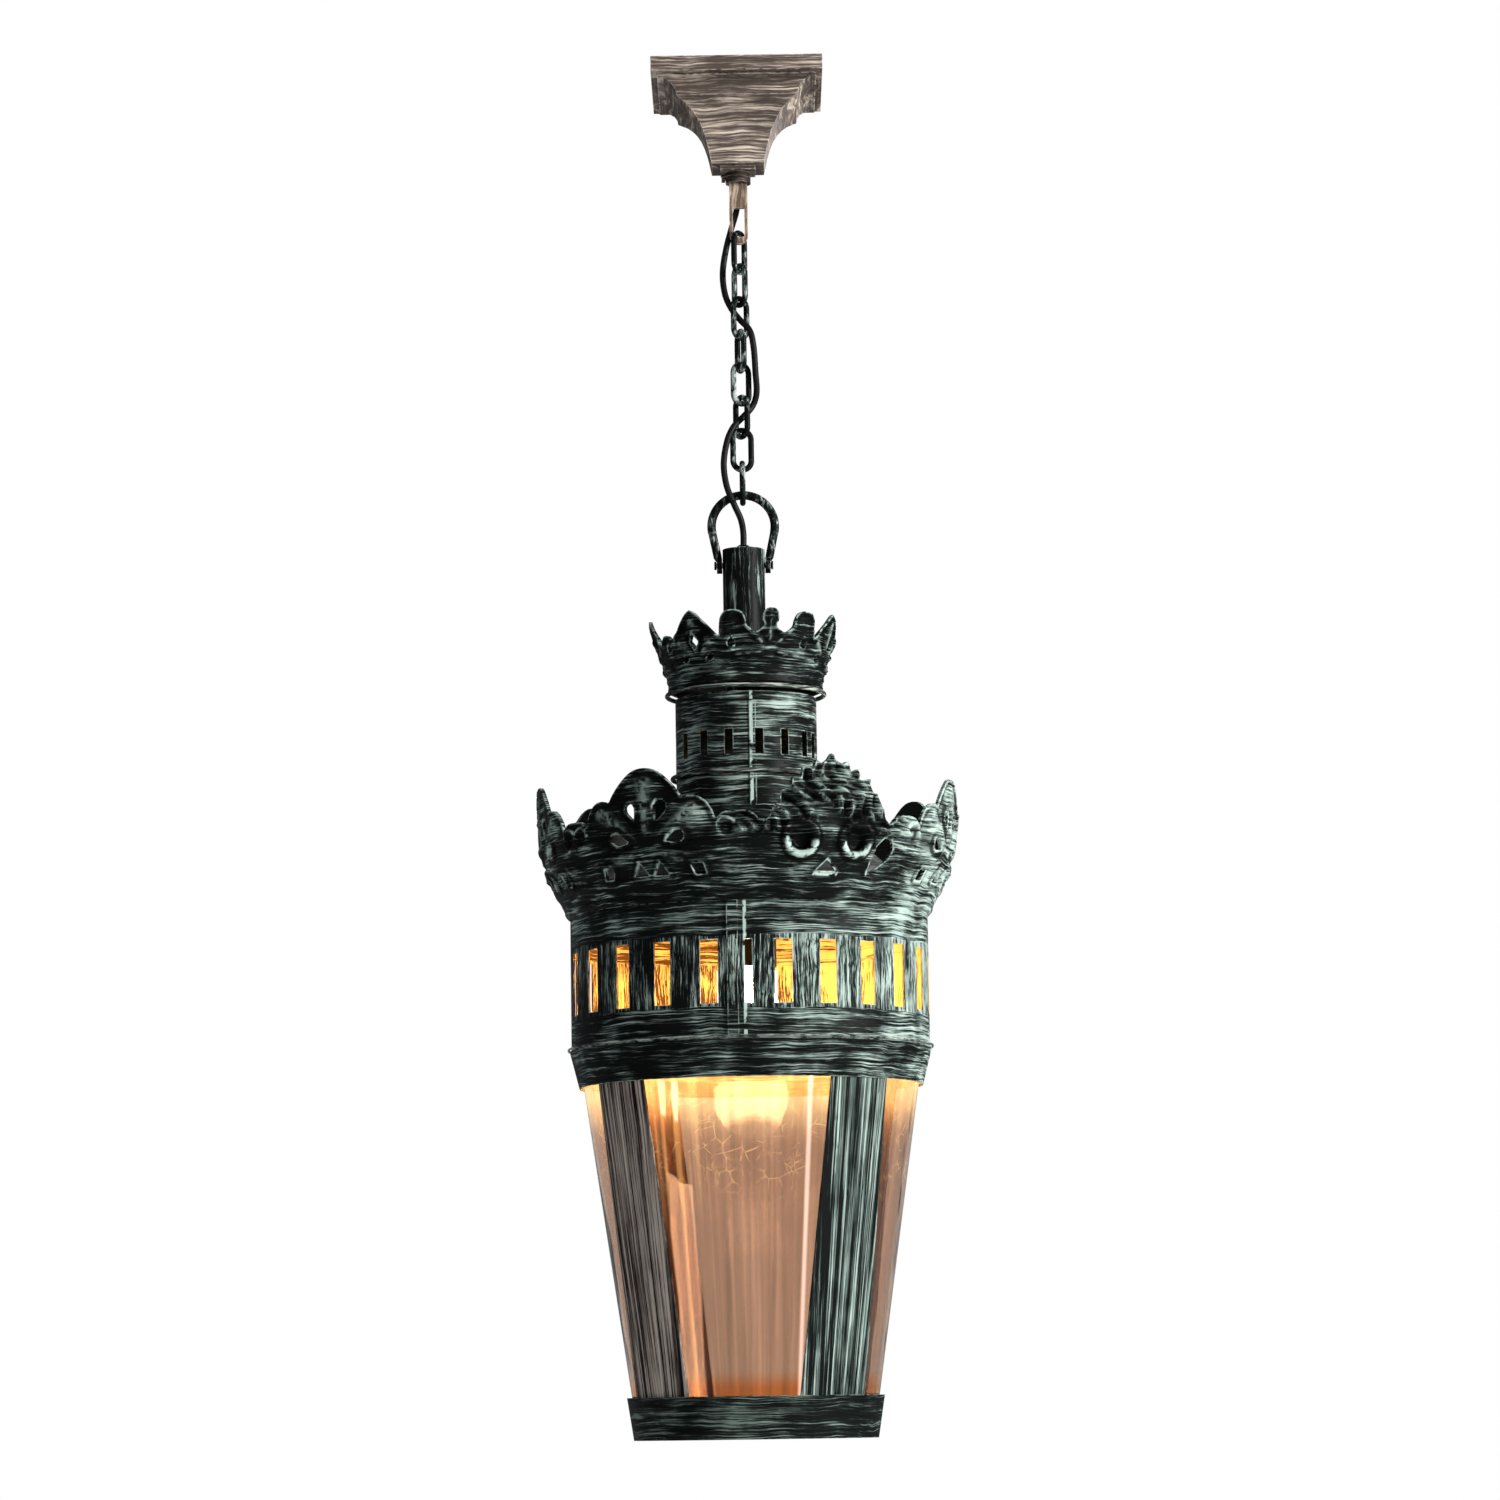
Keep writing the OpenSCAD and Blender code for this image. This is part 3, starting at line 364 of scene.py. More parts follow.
def brushed_paint(name, under, stroke, worn, lie, cover=0.0, soft=0.105, patchy=0.40, wander=0.006,
                  depth=0.0005, edge=0.0011, edge_shade_color=None, wear_and_painted_light=False, seam=None, right=None, turned=None,
                  taper=None, inside=None):
    """A dark undercoat with paler paint dragged over it, rubbed pale on its edges.

    lie: how fast the bristle marks change along X, Y and Z, per metre.
    cover, soft, patchy: how much the strokes cover, how gently they run out, how uneven the coat is.
    wander, depth: how far the strokes stray, and how thick the paint is, in metres.
    edge, edge_shade_color: how far in corners are rubbed, and, where one is given, a dark colour painted on
    them in place of bare metal, a painted shadow.
    rim: takes the rubbed places, the painted highlights and the painted shade from the mesh, and not from its
    corners.
    seam: where, along X, a lapped edge at the front is rubbed bare.
    right: how much paler the paint is made on the right, a painted highlight, or with a value below nothing
    how much darker, a painted shade, and between which two places along X.
    turned: two levels between which the strokes run up and down.
    taper: the levels and radii of the cone that the strokes follow.
    inside: the dark and the light colour of the side that faces the lamp."""
    paint, tree, shader = plain_finish(name, under, 0.55)
    shader.inputs["Specular IOR Level"].default_value = 0.05
    place = add_node(tree, "ShaderNodeTexCoord")
    where = place.outputs["Object"]
    sway_scale, cloud_scale, rub_scale = 30.0, 38.0, 210.0

    sway = add_node(tree, "ShaderNodeTexNoise", {"Vector": where, "Scale": sway_scale, "Detail": 2.0})
    shift = vector_step(tree, "SUBTRACT", sway.outputs["Color"], (0.5, 0.5, 0.5))
    strayed = vector_step(tree, "MULTIPLY_ADD", shift, (wander, wander, wander), where)
    laid = bristle_marks(tree, drawn_in(tree, strayed, taper) if taper else strayed, lie)
    if turned:
        upright = bristle_marks(tree, strayed, UPRIGHT_LIE)
        laid = upright_between(tree, axis_of(tree, strayed, "Z"), laid, upright, turned)
    load = reckon(tree, "MULTIPLY_ADD", blotches(tree, where, cloud_scale, 3.0), patchy, laid)
    # Painted light: the paint turns paler towards the right, a painted highlight, and darker there where the
    # value is below nothing, a painted shade.
    if right:
        side_light, start, end = right
        painted_side_light = spread(tree, axis_of(tree, where, "X"), start, end, -0.35 * side_light, side_light)
        load = reckon(tree, "ADD", load, painted_side_light)
    middle = 0.74 + 0.5 * patchy - cover
    thick = spread(tree, load, middle - soft, middle + soft)
    color = tone_ramp(tree, thick, (0.18, under), (0.52, stroke), (0.92, worn))

    if wear_and_painted_light:
        wear_and_light_mark = add_node(tree, "ShaderNodeAttribute", attribute_name="wear_and_painted_light").outputs["Fac"]
        # Painted shade: where the mesh's value is below nothing, in the relief's grooves and eyes, the colour
        # is darkened.
        color = dimmed(tree, color, spread(tree, wear_and_light_mark, -1.0, 0.0, 0.08, 1.0))
    else:
        wear_and_light_mark = corner_wear(tree, edge)
    if seam is not None:
        wear_and_light_mark = reckon(tree, "MAXIMUM", wear_and_light_mark, seam_wear(tree, where, seam))
    rubbed = spread(tree, blotches(tree, where, rub_scale, 3.0), 0.40, 0.58)
    # Rubbed corners and seams turn pale, and so do the crowns' painted highlights on the relief.
    bare = reckon(tree, "MULTIPLY", wear_and_light_mark, rubbed, use_clamp=True)
    # On the straps the corners take a dark colour instead, a painted shadow.
    color = mixed(tree, bare, color, (*(edge_shade_color or [min(1, v * 1.25) for v in worn]), 1))

    if inside:
        dark, light = inside
        outward = vector_step(tree, "MULTIPLY", where, (1, 1, 0))
        facing = vector_step(tree, "DOT_PRODUCT", outward, place.outputs["Normal"])
        inner = reckon(tree, "LESS_THAN", facing, 0.0)
        color = mixed(tree, inner, color, tone_ramp(tree, thick, (0.08, dark), (0.24, light)))
    tree.links.new(color, shader.inputs["Base Color"])
    tree.links.new(spread(tree, thick, 0.2, 0.8, 0.43, 0.65), shader.inputs["Roughness"])
    bump_up(tree, shader, thick, 0.8, depth)
    return paint


UPRIGHT_LIE = (900, 900, 36)
canopy_paint = brushed_paint("canopy_brown", (0.070, 0.053, 0.046), (0.20, 0.162, 0.135), (0.56, 0.48, 0.40),
                             (30, 30, 860), cover=0.02, soft=0.15, patchy=0.25)
hook_paint = brushed_paint("hook_bronze", (0.11, 0.078, 0.056), (0.27, 0.205, 0.155), (0.50, 0.40, 0.31),
                           (420, 420, 40), cover=0.02, soft=0.15)
collar_paint = brushed_paint("collar_dark", (0.018, 0.014, 0.012), (0.07, 0.055, 0.048), (0.30, 0.25, 0.21),
                             (40, 40, 500), cover=-0.02)
paint_nodes(canopy_paint, "canopy")
paint_nodes(hook_paint, "hook")
paint_nodes(collar_paint, "canopy_collar", "collar_screw")


# The chain: eight links of bent steel wire, then a bail forged from thicker wire, whose flattened feet turn
# on two pins in the stem. All are green-black, with grey-green strokes along the wire.
DARK_GREEN = (0.0022, 0.0034, 0.0032)
GREY_GREEN = (0.068, 0.092, 0.085)
PALE_GREEN = (0.33, 0.42, 0.38)
wire_paint = brushed_paint("chain_green", DARK_GREEN, (0.060, 0.080, 0.075), (0.30, 0.34, 0.32),
                           (330, 330, 120), cover=-0.015, depth=0.0003, edge=0.0006)
paint_nodes(wire_paint, *[f"chain_link_{n}" for n in range(1, 9)], "bail", "bail_pins")


# The stem is a plain steel tube with a small domed entry for the cable. Its strokes run up and down. A brass
# threaded tube inside holds the lantern together, and the cable goes down it to the lampholder.
stem_paint = brushed_paint("stem_green", DARK_GREEN, GREY_GREEN, PALE_GREEN, (420, 420, 17), cover=-0.06)
paint_nodes(stem_paint, "stem", "cable_entry")

brass, brass_tree, brass_shader = plain_finish("plain_brass", (0.62, 0.47, 0.20), 0.3, 1.0)
faint_bump(brass_tree, brass_shader, 400, 2, 0.12, 0.0002)
paint_nodes(brass, "centre_tube", "tube_nuts")
paint_nodes(sheath, "flex_in_tube")


# The two crowns are cast galleries: pierced palmettes joined by small scrolls, with one leaf in seven made as
# an acanthus with two ring volutes. Each is one thin wall that flares out and is cut to the leaves' outline.
# Each is drawn flat, as the distance of a grid of points from the outline and the holes, then bent round.
def line_distance(x, y, points):
    """How far each point is from a bent line."""
    best = np.full(x.shape, np.inf)
    for (ax, ay), (bx, by) in zip(points[:-1], points[1:]):
        run = (bx - ax) ** 2 + (by - ay) ** 2
        t = np.clip(((x - ax) * (bx - ax) + (y - ay) * (by - ay)) / max(run, 1e-12), 0, 1)
        best = np.minimum(best, np.hypot(x - ax - t * (bx - ax), y - ay - t * (by - ay)))
    return best


def hole_distance(x, y, points):
    """Distance to a closed outline, less than nothing inside it."""
    ring = list(points) + [points[0]]
    inside = np.zeros(x.shape, bool)
    for (ax, ay), (bx, by) in zip(ring[:-1], ring[1:]):
        if ay != by:
            crosses = (ay > y) != (by > y)
            inside ^= crosses & (x < ax + (y - ay) * (bx - ax) / (by - ay))
    far = line_distance(x, y, ring)
    return np.where(inside, -far, far)


def smooth_outline(points, steps=5):
    return [tuple(point) for point in smooth_route(np.array(points, float), steps)]


def teardrop_hole(at, width, height, lean=0.0):
    """A drop with its point up, turned to the left by lean."""
    shape = [(0, 0.55), (0.26, 0.26), (0.48, -0.08), (0.38, -0.34), (0, -0.45), (-0.38, -0.34),
             (-0.48, -0.08), (-0.26, 0.26)]
    turn = math.radians(lean)
    return [(at[0] + math.cos(turn) * u * width - math.sin(turn) * v * height,
             at[1] + math.sin(turn) * u * width + math.cos(turn) * v * height) for u, v in shape]


def ridge(far, width):
    """A rounded ridge along a line, from how far away the line is."""
    return np.exp(-(far / width) ** 2)


def fade(value, start, end):
    """Goes from 0 to 1 while the value goes from start to end."""
    return np.clip((value - start) / (end - start), 0, 1)


def pleat(value):
    """Straight folds, which go from 0 to 1 and back for each whole step of the value."""
    return np.abs(value % 1 - 0.5) * 2


def leaf_field(turns, levels, unroll, first, leaves):
    """How far each point of the flat grid is inside the metal, how much the relief lifts it, and how pale its
    cut edges are rubbed, with the relief's painted highlights and, less than nothing, the painted shade in its
    grooves. unroll is millimetres for each radian, and first is the bearing of the first leaf."""
    count = len(leaves)
    angle, level = np.meshgrid(turns, levels, indexing="ij")
    which = np.round((angle - first) / (360 / count)).astype(int)
    x = unroll * np.radians(angle - first - which * 360 / count)
    which %= count
    solid, relief, painted_relief_light = np.full(angle.shape, np.inf), np.zeros(angle.shape), np.zeros(angle.shape)
    side, foot = 99, -60
    rub = 1.1
    for n, (left, right, holes, carve) in enumerate(leaves):
        here = which == n
        px, py = x[here], level[here]
        edge = [(-u, v) for u, v in left[::-1]] + list(right)[1:]
        outline = [(-side, edge[0][1]), *edge, (side, edge[-1][1]), (side, foot), (-side, foot)]
        far = -hole_distance(px, py, outline)
        for hole in holes:
            far = np.minimum(far, hole_distance(px, py, hole))
        solid[here] = far
        relief[here], painted_relief_light[here] = carve(px, py, far)
    edge_rub = np.clip(rub - np.abs(solid) / rub, 0, 1)
    return solid, relief, np.where(edge_rub > 0, np.maximum(edge_rub, painted_relief_light), painted_relief_light)


def crown_shell(name, finish, leaves, profile, foot_level, height, unroll, first, columns, rows, wall=1.6):
    """A flared wall that is cut to the leaves' outline. Sizes are in millimetres. A leaf is its left half,
    its right half, its holes and its relief. The profile is the wall's radii and their levels."""
    turns = np.arange(columns) * 360.0 / columns
    levels = np.linspace(0, height, rows)
    solid, relief, wear_and_painted_light = leaf_field(turns, levels, unroll, first, leaves)
    flare = np.interp(levels, [level for radius, level in profile], [radius for radius, level in profile])
    points, point_wear_and_light, faces = [], [], []
    number = {}

    def corner(key, bearing, level, radius, lift, worn):
        """Makes the outer and the inner point of one place on the wall."""
        if key not in number:
            number[key] = len(points)
            turn = math.radians(bearing)
            for r in (radius + lift, radius - wall + min(lift, 0)):
                points.append((r * math.sin(turn) / 1000, -r * math.cos(turn) / 1000,
                               (foot_level + level) / 1000))
            point_wear_and_light.extend((worn, worn * 0.5))
        return number[key]

    def at_node(i, k):
        i %= columns
        return corner((i, k), turns[i], levels[k], flare[k], relief[i, k], wear_and_painted_light[i, k])

    def at_cut(i, k, i2, k2):
        """The place between two grid points where the wall ends."""
        here, there = (i % columns, k), (i2 % columns, k2)
        t = solid[here] / (solid[here] - solid[there])
        between = lambda u, v: u + (v - u) * t
        return corner((i, k, i2, k2), between(i, i2) * 360.0 / columns, between(levels[k], levels[k2]),
                      between(flare[k], flare[k2]), between(relief[here], relief[there]), 1.0)

    filled = solid > 0
    for i in range(columns):
        for k in range(rows - 1):
            square = [(i, k), (i + 1, k), (i + 1, k + 1), (i, k + 1)]
            full = [filled[a % columns, b] for a, b in square]
            loop, cuts = [], []
            for n in range(4):
                here, there = square[n], square[(n + 1) % 4]
                if full[n]:
                    loop.append(at_node(*here))
                if full[n] != full[(n + 1) % 4]:
                    made = at_cut(*min(here, there), *max(here, there))
                    loop.append(made)
                    cuts.append((made, full[n]))
            if len(set(loop)) < 3:
                continue
            faces += [tuple(loop), tuple(v + 1 for v in reversed(loop))]
            for n, (made, leaving) in enumerate(cuts):
                if leaving:
                    other = cuts[(n + 1) % len(cuts)][0]
                    faces.append((other, made, made + 1, other + 1))
    for i in range(columns):
        a, b = at_node(i, 0), at_node(i + 1, 0)
        faces.append((a, a + 1, b + 1, b))
    shell = mesh_piece(name, points, faces, finish, smooth=True)
    shell.data.set_sharp_from_angle(angle=math.radians(48))
    # Each point's wear and painted light: cut edges rubbed pale, and painted highlights and shade on the
    # relief.
    shell.data.attributes.new("wear_and_painted_light", "FLOAT", "POINT").data.foreach_set("value", np.array(point_wear_and_light, np.float32))
    return shell


def palmette_relief(size, heart, blind=()):
    """A raised edge all round, ribs that fan out from the leaf's heart, and eyes that aren't pierced. size is
    the leaf's scale against the big crown's. The second result is painted light: a painted highlight on the
    ribs, scrolls and eye rims, and, less than nothing, a painted shade in the grooves and the eyes."""
    ribs, fan_low, fan_high = 7, 8, 56
    scroll_x, scroll_y, scroll_foot = 59, 47, 36
    bars = ((33, 2.0), (27.5, 1.2), (14, 1.5), (2, 1.6))

    def carve(x, y, far):
        u, v = x / size, y / size
        lift = 1.4 * ridge(far - 1.0, 1.2)
        up = v - heart + 4
        reach = np.hypot(u, up)
        leaf = fade(reach, fan_low, fan_low + 6) * fade(reach, fan_high, fan_high - 8) * (up > -fan_low)
        fan = np.cos(ribs * np.arctan2(u, up)) * leaf
        lift += 1.9 * np.maximum(fan, 0)
        # Painted shading: pale on the ribs' crests, dark between them and inside the raised edge.
        painted_shading = 0.5 * np.maximum(fan, 0) ** 4 - 0.9 * np.maximum(-fan, 0) ** 1.5 - 0.8 * ridge(far - 3.4, 1.3)
        scroll = np.hypot(np.abs(u) - scroll_x, v - scroll_y)
        lift += 2.2 * ridge(scroll - 6.5, 2.0) * (v > scroll_foot)
        painted_shading += 1.4 * ridge(scroll - 7.2, 0.9) * (v > scroll_y) - 1.2 * ridge(scroll - 3.0, 2.0)
        for level, width in bars:
            bowed = v - level + 0.0016 * u * u * (level > 20)
            lift += 0.9 * ridge(bowed, width)
            painted_shading -= 0.7 * ridge(bowed - 2.2, 1.0)
        for ex, ey, wide, high, lean in blind:
            eye = hole_distance(u, v, teardrop_hole((ex, ey), wide, high, lean))
            lift -= 2.2 * fade(eye, 0, -1)
            painted_shading = np.where(eye < 0, -0.95, painted_shading) + 1.5 * ridge(eye - 0.5, 0.7)
        return lift * (0.5 + 0.5 * size), painted_shading
    return carve


def acanthus_relief(u, v, far):
    """Pointed lobes folded over two ring volutes, whose eyes are cups. The cups, the fold valleys and the
    rings' upper halves are darkened, a painted shade, and the fold crests and the rings' lower inner rims are
    made pale, a painted highlight.
    """
    heart = 40
    ring_x, ring_y, ring_r, ring_edge, cup_r = 20.7, 39.5, 11, 14.6, 7.4
    lift = 1.0 * ridge(far - 1.0, 1.1)
    turn, reach = np.arctan2(u, v - heart), np.hypot(u, v - heart)
    crease = pleat(u * 0.11 + v * 0.075 + 0.6 * np.sin(v * 0.17 - u * 0.05))
    fold = 0.5 * pleat(turn * 2.3 + 0.5) + 0.5 * crease
    lobes = fade(reach, 14, 22) * (np.abs(turn) < 1.8) * (v > heart + 4)
    lift += 6.5 * fold * lobes
    painted_shading = (0.9 * fade(fold, 0.62, 1) - np.maximum(0.45 - fold, 0) / 0.3) * lobes

    ring = np.hypot(np.abs(u) - ring_x, v - ring_y)
    lift = lift * fade(ring, ring_r + 1, ring_r + 4) + 4.0 * ridge(ring - ring_r, 3.6)
    lift -= 3.0 * fade(ring, 7.2, 5.7)
    painted_shading = np.where(ring < ring_edge - 0.1, 0, painted_shading)
    # A painted highlight on each ring's lower inner rim, and a painted shade on its upper half and in its cup.
    painted_shading += 2.2 * ridge(ring - 10.4, 2.0) * np.clip((ring_y + 1 - v) / 5 - u / 60, 0, 1)
    painted_shading -= 1.3 * ridge(ring - 9.5, 3.4) * fade(v, ring_y - 1, ring_y + 3)
    painted_shading = np.where(ring < cup_r, -0.9, painted_shading) - 1.6 * ridge(ring - ring_edge, 1.0)

    for level in (14, 2):
        lift += 0.9 * ridge(v - level, 1.5)
        painted_shading -= 0.7 * ridge(v - level - 2.2, 1.0)
    painted_shading += 2.8 * ridge(v - 16.6, 1.0) * (np.abs(u) < 10)
    return lift, painted_shading


# The crowns and the neck are painted near black inside, a painted shade for their hollows.
SHADED_GREEN_INSIDE = ((0.010, 0.009, 0.007), (0.030, 0.034, 0.030))
# The crowns' paint is made paler on the right, a painted highlight.
crown_paint = brushed_paint("crown_green", DARK_GREEN, GREY_GREEN, PALE_GREEN, (38, 38, 980),
                            right=(0.10, 0.05, 0.12), inside=SHADED_GREEN_INSIDE, wear_and_painted_light=True, depth=0.0006)

big_leaf = smooth_outline([(0, 90.5), (7, 89.5), (14, 85.5), (21, 79), (26, 73), (29, 68.6), (33, 70),
                           (39, 69.5), (45, 66), (49.5, 60), (52, 54), (56, 57.4), (61, 58.6),
                           (67, 58.6)]) + [(70, 58.6)]
big_holes = [teardrop_hole((-10.5, 61.5), 7.5, 12, -160)]
for side in (-1, 1):
    big_holes += [teardrop_hole((side * 22.5, 42.5), 9, 15, side * 106),
                  [(side * 2.2, 17.5), (side * 14.6, 17.5), (side * 8.4, 26.5)],
                  [(side * 32, 24.5), (side * 41, 24.5), (side * 43, 17), (side * 35, 17)]]
palmette = (big_leaf, big_leaf, big_holes, palmette_relief(1.0, 38, [(11.5, 62, 10, 15, 160)]))

acanthus_leaf = [(0, 98), (3, 93.5), (7.5, 90), (11.5, 93), (13.5, 86), (20.5, 88), (21.5, 80), (28, 81),
                 (29, 73), (35.5, 72), (36.5, 65), (41, 60.5), (43, 55), (46, 51.5), (50, 52), (53, 55.5),
                 (57, 58), (61, 58.6), (67, 58.6), (70, 58.6)]
acanthus_holes = [[(-8, 18.5), (8, 18.5), (0, 26)], teardrop_hole((44, 30.5), 15, 30, 143)]
acanthus = (acanthus_leaf, acanthus_leaf, acanthus_holes, acanthus_relief)

drum_low, drum_top = (corner.z * 1000 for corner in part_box("drum"))
big_foot, big_bow = 127.5, 20.4
big_profile = [(big_foot + big_bow * share, level) for share, level in
               ((0, 0), (0.34, 14), (0.64, 28), (0.87, 44), (0.98, 67.6), (1, 97))]
big_crown = crown_shell("big_crown_gallery", crown_paint, [palmette, acanthus] + [palmette] * 5, big_profile,
                        foot_level=drum_top, height=100, unroll=147.0, first=-28.7, columns=700, rows=80)
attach(big_crown, "lantern")
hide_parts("big_crown")

small_slope = [(0, 51.5), (4, 49.3), (9, 44.5), (14, 39.5), (18.5, 35)]
small_half = smooth_outline(small_slope + [(21.3, 31), (23, 32.5), (25.5, 35.5), (28, 36.8), (30.8, 37),
                                           (34, 37)], 3)
knob_half = smooth_outline(small_slope + [(21.3, 32.5), (22.3, 34), (22.6, 39), (24, 45), (27, 48.8),
                                          (30.8, 49.8), (34, 49.8)], 3)
beaded_half = smooth_outline([(0, 51), (3.5, 50.4), (5.8, 47.5), (6.2, 43), (4.8, 39.5), (7.5, 36.5),
                              (11.5, 34.6), (15.5, 36.5), (18.5, 39.5), (19, 43.5), (21.5, 48), (26, 49.8),
                              (30.8, 49.8)], 3) + [(34, 49.8)]
diamond = [(0, 35), (3.8, 29.5), (0, 24), (-3.8, 29.5)]
small_scale = 0.56
small_eyes = [(side * 54.8, 50, 12, 13, 0) for side in (-1, 1)]
small_relief = palmette_relief(small_scale, 36, small_eyes + [(side * 21, 33, 9, 12, side * 110)
                                                              for side in (-1, 1)])
small_leaf = (small_half, small_half, [diamond], small_relief)
leaf_by_knob = (small_half, knob_half, [diamond], small_relief)
beaded_leaf = (beaded_half, beaded_half, [], palmette_relief(small_scale, 44, small_eyes))
plain_by_knob = (knob_half, small_half, [], small_relief)

small_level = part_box("neck_drum")[1].z * 1000 + 5
small_foot, small_lean = 52.5, 16.5
small_profile = [(small_foot + out, level) for out, level in
                 ((0, 0), (2.3, 1.4), (2.3, 6), (4.5, 15), (small_lean * 0.55, 30), (small_lean * 0.82, 44),
                  (small_lean, 61))]
small_crown = crown_shell("small_crown_gallery", crown_paint,
                          [leaf_by_knob, beaded_leaf, plain_by_knob] + [small_leaf] * 4, small_profile,
                          foot_level=small_level, height=57, unroll=68.5, first=-35.0, columns=420, rows=62)
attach(small_crown, "lantern")
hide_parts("small_crown")


# Three rolled beads go round the lantern: one under the small crown, one round the foot of the neck drum and
# a thinner one round the foot of the big drum. They stand out from the walls, are rubbed the palest, and are
# painted pale, a painted highlight along them.
bead_paint = brushed_paint("bead_pale", (0.012, 0.016, 0.016), (0.13, 0.155, 0.14), (0.48, 0.52, 0.46),
                           (40, 40, 900), cover=0.03)
paint_nodes(bead_paint, "small_crown_bead", "neck_bead", "drum_bead")


# The neck is a slotted drum of sheet steel on a plain tube. Both are rolled and lap over themselves at the
# front, and a plate across the top steadies the centre tube. The strokes run level, and the paint is a little
# paler on the right, a painted highlight.
neck_paint = brushed_paint("neck_green", DARK_GREEN, GREY_GREEN, PALE_GREEN, (32, 32, 1000), cover=0.015,
                           right=(0.02, -0.03, 0.06), inside=SHADED_GREEN_INSIDE, seam=0.0036)
paint_nodes(neck_paint, "neck_drum", "neck_tube", "neck_plate")


# The roof is a low cone of sheet steel from the neck down into the drum. It stands behind the big crown, and
# its outside is painted dark, a painted shade. Inside, the roof and the drum are painted gold.
GOLD_INSIDE = ((0.070, 0.022, 0.004), (0.62, 0.37, 0.085))
shaded_roof_paint = brushed_paint("roof_green_shaded", DARK_GREEN, (0.030, 0.041, 0.037), (0.16, 0.20, 0.185),
                           (60, 60, 1000), cover=-0.03, inside=GOLD_INSIDE)
paint_nodes(shaded_roof_paint, "roof")


# The drum is rolled from sheet steel, with its slots punched first. The strokes run level round it, and up
# and down between the slots. At the front the sheet laps over itself, and its end covers half of one slot.
# Its strokes are paler than the neck's, the most on the right, a painted highlight.
slots_low, slots_high = drum_top / 1000 - 0.0735, drum_top / 1000 - 0.024
drum_paint = brushed_paint("sheet_green", DARK_GREEN, (0.078, 0.106, 0.098), PALE_GREEN, (24, 24, 1000),
                           right=(0.085, -0.03, 0.10), inside=GOLD_INSIDE, turned=(slots_low, slots_high),
                           seam=-0.0031)
paint_nodes(drum_paint, "drum")

lap_bearings = np.linspace(-5.4, -1.4, 7)
lap_inner, lap_outer = 126.15, 126.65
lap_low, lap_high = drum_low + 1.5, drum_top - 1.0
lap_points, lap_faces = [], []
for lap_bearing in lap_bearings:
    turn = math.radians(lap_bearing)
    for radius in (lap_inner, lap_outer):
        for level in (lap_low, lap_high):
            lap_points.append((radius * math.sin(turn) / 1000, -radius * math.cos(turn) / 1000, level / 1000))
lap_end = len(lap_points) - 4
for a in range(0, lap_end, 4):
    b = a + 4
    lap_faces += [(a, b, b + 1, a + 1), (a + 2, a + 3, b + 3, b + 2), (a, a + 2, b + 2, b),
                  (a + 1, b + 1, b + 3, a + 3)]
lap_faces += [(0, 1, 3, 2), (lap_end, lap_end + 2, lap_end + 3, lap_end + 1)]
drum_lap = mesh_piece("drum_lap", lap_points, lap_faces, drum_paint)
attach(drum_lap, "lantern")


# The shoulder band is a ring of sheet steel under the drum, which draws in to the straps. Its paint is paler
# on the right, a painted highlight. Its inner side is gold paint made pale, a painted highlight from the bulb.
band_paint = brushed_paint("band_green", DARK_GREEN, GREY_GREEN, PALE_GREEN, (24, 24, 1000), cover=-0.02,
                           right=(0.06, -0.03, 0.10), inside=((0.32, 0.15, 0.035), (0.66, 0.56, 0.28)))
paint_nodes(band_paint, "shoulder_band")


# Four straps of sheet steel follow the glass from the shoulder band to the bottom ring, and widen downwards.
# The strokes run down them, and their corners are painted dark, a painted shadow along their edges. The one
# at the front left is umber, and the others are green.
strap_low, strap_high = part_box("strap_1")
strap_cone = (strap_high.z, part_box("shoulder_band")[1].x, strap_low.z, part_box("bottom_ring")[1].x)
strap_brush = {"lie": (520, 520, 5), "wander": 0.0008, "patchy": 0.12, "soft": 0.13, "edge": 0.0016,
               "taper": strap_cone, "inside": ((0.10, 0.035, 0.007), (0.62, 0.35, 0.11))}
DARK_UMBER = (0.006, 0.005, 0.005)
strap_paint = brushed_paint("strap_green", DARK_GREEN, (0.085, 0.115, 0.106), PALE_GREEN,
                            edge_shade_color=DARK_GREEN, **strap_brush)
umber_paint = brushed_paint("strap_umber", DARK_UMBER, (0.20, 0.165, 0.145), (0.50, 0.44, 0.39), cover=0.055,
                            edge_shade_color=DARK_UMBER, **strap_brush)
for name in ("strap_1", "strap_2", "strap_3", "strap_4"):
    low_corner, high_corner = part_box(name)
    front_left = low_corner.x + high_corner.x < 0 and low_corner.y + high_corner.y < 0
    paint_nodes(umber_paint if front_left else strap_paint, name)


# The bottom ring is a narrow ring of sheet steel that holds the straps' feet. A flat ring inside it is the
# ledge that the glass stands on. Their paint is kept dark, with few pale strokes and darker still on the
# right, a painted shade for a ring that faces down, away from the lamps.
shaded_ring_paint = brushed_paint("ring_green_shaded", DARK_GREEN, (0.020, 0.029, 0.026), (0.13, 0.17, 0.15),
                           (24, 24, 900), right=(-0.07, -0.03, 0.08), inside=GOLD_INSIDE)
paint_nodes(shaded_ring_paint, "bottom_ring", "glass_ledge")


